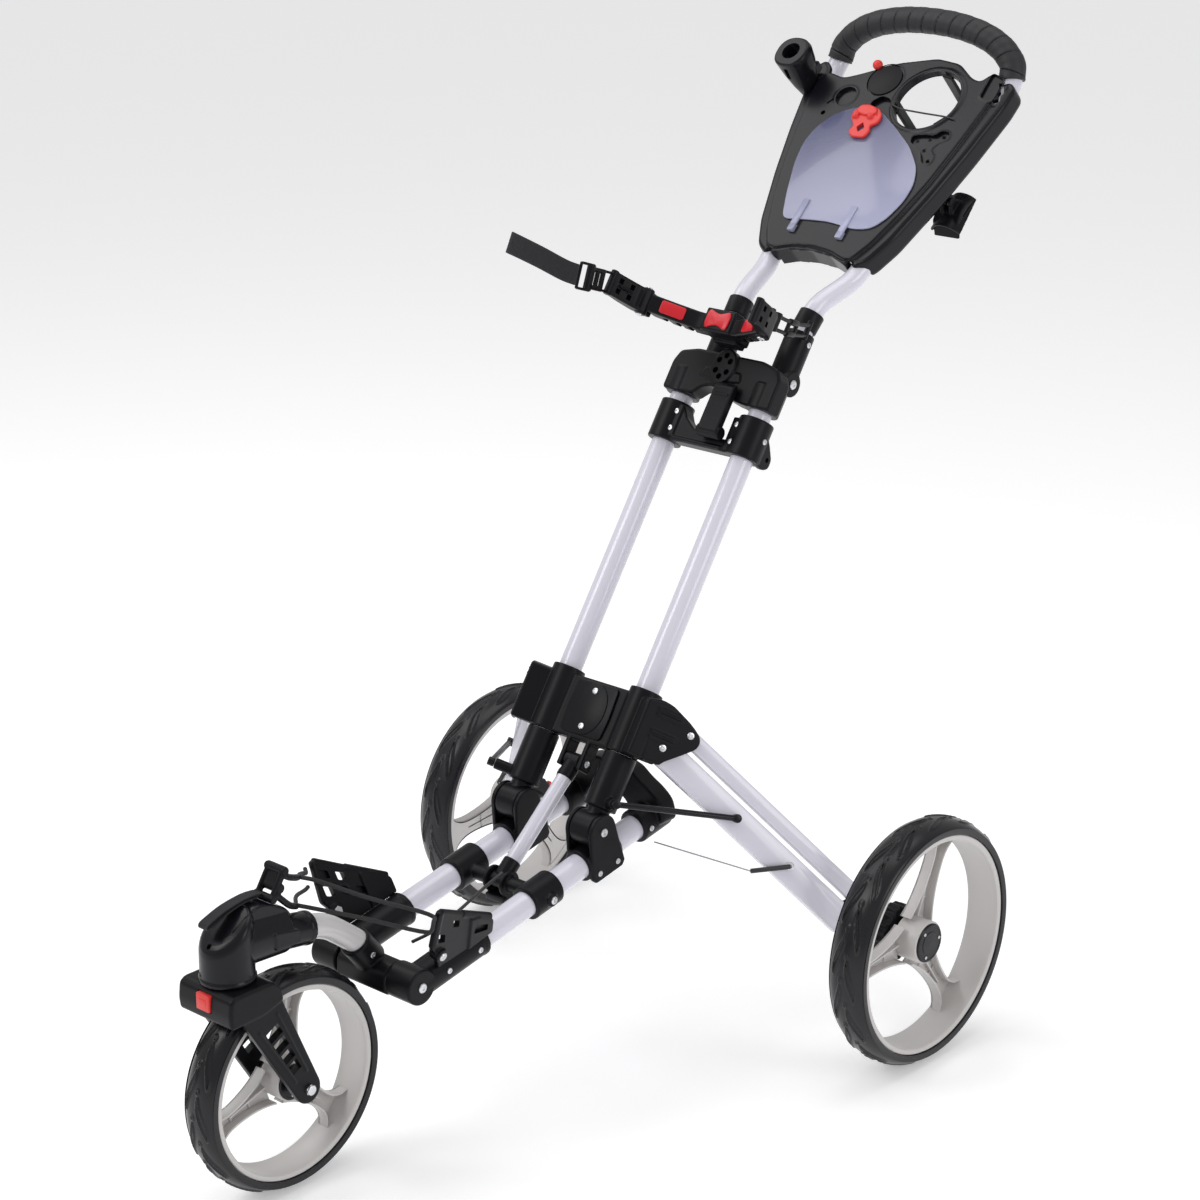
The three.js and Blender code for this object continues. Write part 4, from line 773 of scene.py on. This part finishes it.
for side_, s in (("left", 1), ("right", -1)):
    make("tube_collar_" + side_, [rod(MAST(s * 51.0, 625, -24.3), MAST(s * 52.6, 647, -26.6), 15.2, 48, c=1.2)], "handle", BLACK, slot="black_plastic")
gp = curve(top + [(-x, y, z) for x, y, z in top[:-1][::-1]], 40)
s_ = np.concatenate([[0], np.cumsum(np.linalg.norm(np.diff(gp, axis=0), axis=1))])


def wrapped(q, s, r, seg=56, turns=15):
    """Tape wound round the bar: a shallow overlapping step that winds along it."""
    tan = np.gradient(q, axis=0)
    tan /= np.linalg.norm(tan, axis=1)[:, None]
    u, w = ring_frame(tan[0])
    t = np.linspace(0, 2 * np.pi, seg, endpoint=False)
    rings = []
    for i in range(len(q)):
        if i:
            u = unit(u - u.dot(tan[i]) * tan[i])
            w = np.cross(tan[i], u)
        ph = (s[i] / s[-1] * turns + t / (2 * np.pi)) % 1.0
        rr = r - 0.5 + 0.6 * ph - 1.5 * np.exp(-((ph - 0.03) / 0.035) ** 2) + 0.12 * np.sin(ph * 12.5)
        if i in (0, len(q) - 1):
            rr = rr * 0.93
        rings.append(q[i] + rr[:, None] * (np.cos(t)[:, None] * u + np.sin(t)[:, None] * w))
    return loft(rings)


make("handle_grip", [wrapped(gp, s_, 15.8)], "handle", TAPE, ["handle_grip"], angle=60)

# ---------------------------------------------------------------- console
rim_pts = [(-52, -9), (-28, -1), (0, 2), (28, -1), (52, -9), (64, -6), (78, 18), (95, 65), (109, 116), (120, 176), (127, 222), (130, 250), (128, 272), (112, 277), (100, 262), (86, 266), (60, 284), (26, 288), (-25, 275), (-72, 252), (-92, 244), (-116, 250), (-128, 240), (-127, 222), (-120, 176), (-109, 116), (-95, 65), (-78, 18), (-64, -6)]
wall_pts = [(66, -14), (82, -4), (98, 30), (118, 100), (133, 165), (146, 235), (147, 262), (136, 272), (122, 262), (112, 215), (96, 140), (80, 72), (66, 22), (58, -6)]
con = [slab(rim_pts, -4, 4, CONS, r=7, c=2)]
for s in (1, -1):
    con.append(slab([(s * x, w) for x, w in wall_pts], -30, -1, CONS, r=8, c=5))
con += [slab([(-56, -14), (-30, -5), (0, -2), (30, -5), (56, -14), (56, -4), (30, 6), (0, 9), (-30, 6), (-56, -4)], -26, 0, CONS, r=2, c=1.5)]
con.append(box(109.2, 114.8, 113, 123, -41, -1, CONS, c=0.8))
ring = lathe([(43, -5), (48.5, -5), (48.5, 4.6), (47, 5.4), (44.5, 5.4), (43, 4.4)], (0, 0, 0), 72)
rv = ring[0]
con.append((CONS(np.stack([rv[:, 1] + 44, rv[:, 2] + 226, rv[:, 0]], 1)), ring[1]))
cover_pts = [(-60, 31), (-74, 66), (-88, 111), (-92, 140), (-88, 162), (-76, 183), (-57, 197), (-38, 203), (-8, 200), (24, 180), (58, 156), (83, 129), (92, 105), (91, 80), (81, 53), (68, 37), (46, 32), (5, 37), (-27, 35)]
tees = [(60, 169), (76, 173), (93, 179), (76, 157), (89, 143)]
Yrec = [(52, 173), (62, 176), (82, 178), (88, 186), (99, 185), (103, 175), (92, 168), (86, 157), (97, 147), (96, 136), (84, 137), (75, 152), (62, 160), (53, 164)]
groove_right = [(112, 275), (134, 267), (131, 234), (112, 239)]
recess = [slab([(x * 0.98, w) for x, w in cover_pts], 1.6, 8, CONS, r=9), slab(Yrec, 0.6, 8, CONS, r=4), slab([(-30, 205), (-32, 214), (-22, 224), (-8, 222), (-1, 212), (-4, 204)], -1.5, 8, CONS, r=5)]
holes = [rod(CONS(x, w, -10), CONS(x, w, 10), 3.0, 24, c=0) for x, w in tees]
holes += [rod(CONS(44, 226, -40), CONS(44, 226, 20), 43, 80, c=0), rod(CONS(-30, 247, 2.2), CONS(-30, 247, 9), 24.3, 64, c=0), rod(CONS(-72, 217, -0.5), CONS(-72, 217, 9), 13, 48, c=0, r2=15), rod(CONS(-91, 189, 0), CONS(-91, 189, 9), 3.2, 24, c=0), slab([(-94, 204), (-88, 212), (-86, 210), (-92, 202)], 1, 9, CONS)]
holes += [slab(groove_right, 1.4, 9, CONS, r=4), slab([(125, 264), (131, 264), (137, 252), (135, 248), (138, 240), (133, 235), (128, 239), (132, 243), (130, 249), (131, 254)], -9, 9, CONS, r=1)]
cavity = []
tun = [(46, -20), (58, 26), (74, 92), (92, 155), (106, 225), (112, 285), (132, 285), (131, 225), (116, 150), (97, 76), (83, 20), (76, -20)]
for s in (1, -1):
    cavity.append(slab([(s * x, w) for x, w in tun], -34, -17, CONS))
def bead(pts, h, r, rr):
    q = rounded(pts, r)
    return pipe([CONS(x, w, h) for x, w in q + q[:2]], rr, 10)


make("console", con + [bead(Yrec, 3.6, 4, 1.1), bead([(x * 1.0, w) for x, w in cover_pts], 3.3, 9, 0.9), bead(groove_right, 3.6, 4, 1.2), bead([(-30 + 24.6 * math.cos(a), 247 + 24.6 * math.sin(a)) for a in np.linspace(0, 2 * np.pi, 40, endpoint=False)], 3.6, 0, 0.9), bead([(-72 + 15.5 * math.cos(a), 217 + 15.5 * math.sin(a)) for a in np.linspace(0, 2 * np.pi, 32, endpoint=False)], 3.6, 0, 1.1)], "handle", SATIN, ["console"], voxel=1.1, smooth=5, keep=0.45, cuts=cavity + [pipe(full, 12.7, 32, 5), pipe(gp[::8], 16.6, 32)] + recess + holes, angle=38)
make("console_disc", [rod(CONS(-30, 247, 2.0), CONS(-30, 247, 4.8), 22.4, 72, c=0.7)], "handle", BLACK, slot="black_plastic")
make("console_knob", [ball(CONS(-52, 267, 4.5), 6.3, (1, 1, 1), 32), rod(CONS(-52, 266, -3), CONS(-52, 267, 4), 3, 24)], "handle", CORAL, slot="coral_plastic")
cover = [slab(cover_pts, 4.6, 6.6, CONS, r=10, c=0.5)]
for x in (-39, 32):
    cover += [box(x - 4.5, x + 4.5, 22, 62, 6.0, 8.6, CONS, c=0.8), box(x - 4.5, x + 4.5, 16, 26, 2.0, 8.6, CONS, c=0.8)]
make("scorecard_cover", cover, "scorecard_cover", CLEAR, ["scorecard_cover"])
clip = [slab([(-35, 163), (-27, 156), (-8, 157), (-5, 168), (-9, 174), (0, 180), (0, 191), (-8, 200), (-22, 204), (-35, 202), (-43, 194), (-43, 184), (-36, 177), (-32, 171)], 7, 11.5, CONS, r=4, c=1.5), ball(CONS(-35, 185, 11.5), 4.6, seg=28), ball(CONS(-14, 187, 11.5), 4.6, seg=28), slab([(-38, 190), (-24, 186), (-6, 191), (-10, 199), (-22, 203), (-35, 201)], 9, 15, CONS, r=5, c=2.2)]
make("card_clip", clip, "card_clip", CORAL, ["card_clip"], voxel=0.5, smooth=3, keep=0.4, cuts=[slab([(-26, 170), (-20, 163), (-14, 170), (-20, 178)], 4, 18, CONS, r=1.5)])
cup = [slab(arc(44, 226, 40, 0, 352, 44), -78, -72, CONS, c=1.2)]
for a in (80, 200, 320):
    q = [(37.5, -8), (41.4, -8), (41.4, 8), (37.5, 8)]
    c_, s2 = math.cos(rad(a)), math.sin(rad(a))
    cup.append(slab([(44 + x * c_ - y * s2, 226 + x * s2 + y * c_) for x, y in q], -76, 2, CONS, c=0.8))
make("cup_holder", cup, "handle", BLACK, ["cup_holder"], voxel=0.9, keep=0.4, cuts=[rod(CONS(44, 226, -90), CONS(44, 226, -60), 30, 56, c=0)])
def um_ring(x, w, h, rx, rw, seg=48):
    t = np.linspace(0, 2 * np.pi, seg, endpoint=False)
    return CONS(np.stack([x + rx * np.sign(np.cos(t)) * np.abs(np.cos(t)) ** 0.85, w + rw * np.sign(np.sin(t)) * np.abs(np.sin(t)) ** 0.85, np.full(seg, float(h))], 1))


um = [loft([um_ring(*q) for q in ((-138, 226, -8, 7, 9), (-139, 228, -6, 10, 12), (-142, 233, 8, 15, 17), (-146, 239, 24, 20, 21), (-149, 243, 38, 23, 22.5), (-150, 243, 44, 22.5, 22), (-150, 243, 46, 20.5, 20))]), box(-150, -128, 224, 254, 4.4, 18, CONS, c=1.5)]
make("umbrella_holder", um, "handle", SATIN, ["umbrella_holder"], voxel=0.8, keep=0.4, cuts=[rod(CONS(-150, 243, 14), CONS(-150, 243, 60), 12, 48, c=0), slab([(-153, 22), (-147, 22), (-147, 38), (-153, 38)], -235, -205, Frame(CONS(0, 0, 0), X, kn, -kw), r=2)])


def wh(pts, x0, x1, **k):
    return slab(pts, x0, x1, CONS, order="yzx", **k)


cheek = arc(118, -38, 6, -20, 200, 10) + [(102, -56), (134, -56)]
paddle = []
for k in range(9):
    a = rad(-62 + 15.5 * k)
    paddle.append(rod(CONS(117 + 20 * math.sin(a), 96, -68 + 20 * math.cos(a)), CONS(117 + 17 * math.sin(a), 140, -66 + 17 * math.cos(a)), 2.2, 16, c=0.6))
lever_face = slab([(88, -70), (98, -52), (112, -47), (126, -48), (142, -58), (126, -54), (112, -53), (101, -58)], 95, 131, CONS, order="yzx", r=2, c=1)
shell = []
for w0, rr_ in ((90, 22), (142, 17)):
    shell.append([CONS(114 + rr_ * math.sin(rad(q)), w0, -66 + rr_ * math.cos(rad(q)) * 0.85) for q in range(-75, 76, 10)] + [CONS(114 + (rr_ - 3) * math.sin(rad(q)), w0, -66 + (rr_ - 3) * math.cos(rad(q)) * 0.85) for q in range(75, -76, -10)])
make("brake_lever", [wh(cheek, 103, 108.4, c=0.8), wh(cheek, 115.6, 121, c=0.8), lever_face, loft([np.array(q) for q in shell])], "brake_lever", BLACK, ["brake_lever"], voxel=0.7, keep=0.4)

# ---------------------------------------------------------------- sliding block
blk = [rod(MAST(s * 58.8, 88.8, 0), MAST(s * 58.8, 166, 0), 19.3, 64, c=1.5) for s in (-1, 1)]
blk += [box(-46, 46, 89, 160, -12, 9, MAST, c=2), box(11.6, 17.6, 56, 100, -11, 9, MAST, c=1.2), box(-17.6, -11.6, 56, 100, -11, 9, MAST, c=1.2)]
ear_pts = [(-22, 50), (-5.5, 48.4), (20, 38), (29.2, 32.9), (36.6, 27.5), (39, 20), (36.5, 12.9), (30.2, 6.7), (7.2, -13.9), (3.6, -19.6), (-19, -20.5)]
ear = [slab(ear_pts, 9, 13.5, LEGF, r=5, c=1.2), slab(ear_pts, -13.5, -9, LEGF, r=5, c=1.2), slab([(-36, -20.5), (-19, -20.5), (-19, 50), (-36, 46)], -34, 13.5, LEGF, r=3, c=2)]
ear += [box(-20, 10, b, b + 3, 13, 15.4, LEGF, c=0.8) for b in (6, 12, 32, 38)]
blk += ear + other(ear)
make("sliding_block", blk, "main_block", BLACK, ["main_block"], voxel=1.0, smooth=4, keep=0.45, cuts=[rod(MAST(s * 58.8, 80, 0), MAST(s * 58.8, 180, 0), 14.2, 48, c=0) for s in (-1, 1)])
oval = [(24 * math.cos(a), 125.5 + 31 * math.sin(a)) for a in np.linspace(0, 2 * np.pi, 48, endpoint=False)]
make("block_cover", [slab([(-30, 94), (30, 94), (32, 120), (30, 157), (-30, 157), (-32, 120)], 9.3, 11.8, MAST, r=6, c=0.8), slab(oval, 11.2, 13.0, MAST, c=0.8)], "main_block", BLACK, ["block_cover"])
add_screws("main_block", [screw(MAST(0, 147, 13), mq, 3.8, 1.8), screw(MAST(0, 104, 13), mq, 3.8, 1.8)])
lug = [screw(LEGF(0, 0, 13.5), n, 4.2, 2.0), screw(LEGF(24.9, 25, 13.5), n, 4.2, 2.0)]
add_screws("main_block", lug + other(lug) + [screw(MAST(s * 17.6, 66, 0), (s, 0, 0), 4, 2.2) for s in (-1, 1)])

# ---------------------------------------------------------------- rear legs
ld = unit((0.945, -0.327))
E = ld * 290
Fp = np.array([24.9, 25]) + ld * 290


def leg(a, b, half, thick, L):
    ang = math.degrees(math.atan2(ld[1], ld[0]))
    e = (a + ld[0] * L, b + ld[1] * L)
    return slab(arc(a, b, half, ang + 90, ang + 270, 16) + arc(e[0], e[1], half, ang - 90, ang + 90, 16), -thick, thick, LEGF, c=min(3.0, thick * 0.45))


pair("leg_main", [leg(0, 0, 16.5, 7.5, 290)], "leg_*", WHITE, "leg_main", cuts=[rod(LEGF(E[0], E[1], -12), LEGF(E[0], E[1], 12), 3.8, 24, c=0)])
pair("leg_link", [leg(24.9, 25, 9.5, 6.5, 290)], "link_*", WHITE, "leg_link", cuts=[rod(LEGF(Fp[0], Fp[1], -12), LEGF(Fp[0], Fp[1], 12), 3.8, 24, c=0)])
hub = [slab([(E[0] - 14, E[1] - 9), (E[0] + 4, E[1] - 16), (E[0] + 30, E[1] - 4), (Fp[0] + 14, Fp[1] + 2), (Fp[0] + 6, Fp[1] + 13), (Fp[0] - 8, Fp[1] + 12), (E[0] - 14, E[1] + 9)], -17, -9, LEGF, r=5, c=1.5),
       rod(LEGF(E[0] + 22, E[1] + 12, -21), (282, 0, 146), 9.5, 40, 17), rod((277, 0, 146), (297.5, 0, 146), 31.5, 72, c=2)]
for c in (E, Fp):
    hub.append(rod(LEGF(c[0], c[1], -10), LEGF(c[0], c[1], 9.5), 3.1, 24))
hub.append(rod((290, 0, 146), (334.5, 0, 146), 5.6, 40))
for i in range(20):
    a = rad(18 * i)
    hub.append(rod((279, 31.5 * math.cos(a), 146 + 31.5 * math.sin(a)), (296, 31.5 * math.cos(a), 146 + 31.5 * math.sin(a)), 2.3, 12, c=0.5))
pair("wheel_carrier", hub, "carrier_*", BLACK, "wheel_carrier", voxel=0.9, keep=0.4)
pair("brake_tab", [slab([(28, 8), (35, 10), (35, 18), (27, 17)], 283, 290, Frame((0, 0, 146), X, (0, 1, 0), (0, 0, 1)), order="yzx", c=0.8)], "carrier_*", CORAL, slot="coral_plastic")
pair("spreader_rod", [rod(LEGF(-25, -78, 13.3), LEGF(110.9, -38.4, 13.3), 3.4, 32), rod(LEGF(-25, -78, 9.2), LEGF(-25, -78, 17), 5, 32), rod(LEGF(110.9, -38.4, 9.2), LEGF(110.9, -38.4, 17), 5, 32)], "spreader_*", SATIN, "spreader_rod")
cabA, cabK, cabB = vec(79, -181, 254), LEGF(150, -86, 10), LEGF(191.4, -63.6, 11.6)
pair("brake_wire", [rod(cabA, cabK, 0.8, 12, c=0)], "brake_cable_*", WIRE, "brake_cable", slot="zinc_steel")
pair("brake_sleeve", [rod(cabK, cabB, 2.8, 24, c=0.8)], "brake_cable_*", SLEEVE, slot="cable_sleeve")
bolt = [screw(LEGF(191.4, -63.6, 7.5), n, 5.2, 4.2)]
add_screws("leg_left", bolt)
add_screws("leg_right", other(bolt))

# ---------------------------------------------------------------- lower cradle
WU = unit(0.305 * X + 0.952 * tq)
WN = np.cross(tau, WU)
WF = Frame(CHAS(80, 0, 36), tau, WU, WN)


def wq(pts):
    return [(t, (q - 36) / 0.952) for t, q in pts]


wing_out = wq([(205, 49), (212, 94), (222, 92), (250, 68), (278, 50), (300, 32), (300, 14), (262, 12), (218, 14), (214, 34)])
windows = [(212, 52, 13, 15), (216, 71, 12, 13), (231, 44, 13, 14), (234, 60, 12, 13), (251, 36, 13, 12)]
wing_cuts = [slab(wq([(t + 1.5, q + 1), (t + l - 1, q - 0.5 * l + 2), (t + l - 1, q - 0.5 * l + h - 2), (t + 1.5, q + h - 2)]), -9, 9 if k in (0, 3) else 0.5, WF, r=1.6) for k, (t, q, l, h) in enumerate(windows)]
wing_cuts += [slab(wq([(268, 32), (290, 24), (290, 32), (270, 44)]), 2.5, 9, WF, r=2), rod(CHAS(57.5, 180, 0), CHAS(57.5, 320, 0), 19.3, 56, c=0)]
wing = [slab(wing_out, -3.5, 3.5, WF, r=3, c=1.2), slab(wq([(262, 12), (300, 14), (300, 32), (278, 50), (262, 56)]), -6, 6, WF, r=3, c=1.6), rod(WF(218, -2, -6), WF(218, -2, 7.5), 8.0, 32, c=1), rod(WF(209, 12, 0), WF(216, 60, 0), 4.2, 24, c=1), rod(WF(216, 60, 0), WF(250, 34, 0), 3.6, 24, c=1), rod(WF(250, 34, 0), WF(298, -2, 0), 4.6, 24, c=1)]
for t, q, l, h in windows:
    a, b = wq([(t - 1, q - 1)])[0], wq([(t + l + 2, q - 0.5 * l - 2)])[0]
    wing.append(rod(WF(a[0], a[1], 0), WF(b[0], b[1], 0), 2.8, 16, c=0.5))
pair("lower_wing", wing, "chassis", BLACK, "lower_cradle_wing", voxel=0.8, keep=0.4, cuts=wing_cuts)
for s in (1, -1):
    g = [screw(WF(218, -2, 7.5), WN, 5.0, 2.4)] + hexnut(WF(218, -2, -6), -WN, 5.4, 2.6)[:1]
    add_screws("chassis", g if s > 0 else other(g))
lst, Ll = webbing([(-6, -700, 339.5), (-6, -716, 340.5), (-6, -744, 337), (-6, -762, 331.5), (-6, -772, 327), (-6, -772, 323.5), (-6, -762, 324.5), (-6, -744, 332), (-6, -718, 337.2), (-6, -704, 336.8)], 13, 1.7, X)
lo = make("lower_strap", [lst], "chassis", WEB, ["lower_strap"])
lb_l = unit(vec(0, -0.55, -0.84))
LB = Frame((0, -686, 348), X, lb_l, np.cross(X, lb_l))
lbk = [box(-13, -8.5, -20, 20, -4, 4, LB, c=1.6, r=2), box(8.5, 13, -20, 20, -4, 4, LB, c=1.6, r=2), box(-12, 12, -20, -14, -3.5, 3.5, LB, c=1.4), box(-12, 12, 14, 20, -3.5, 3.5, LB, c=1.4), rod(LB(-14, 3, 4), LB(14, 3, 4), 5.2, 32, c=1), box(-9, 9, -12, 3, -1, 5, LB, c=1),
       pipe([LB(12, -12, 0), (10, -672, 352), (4, -656, 344), (0, -649, 341)], 3.6, 20, 6), pipe([LB(12, 10, 0), (12, -684, 332), (8, -668, 318), (4, -656, 312)], 3.6, 20, 6), rod(LB(-15, -15, 0), LB(15, -15, 0), 4.6, 32, c=1.2), rod(LB(-15, 16, 0), LB(15, 16, 0), 4.6, 32, c=1.2)]
make("lower_buckle", lbk, "chassis", BLACK, voxel=0.7, keep=0.4, slot="black_plastic")

for body, items in SCREWS.items():
    make("screws_" + body, items, body, ZINC, slot="zinc_steel", angle=25)
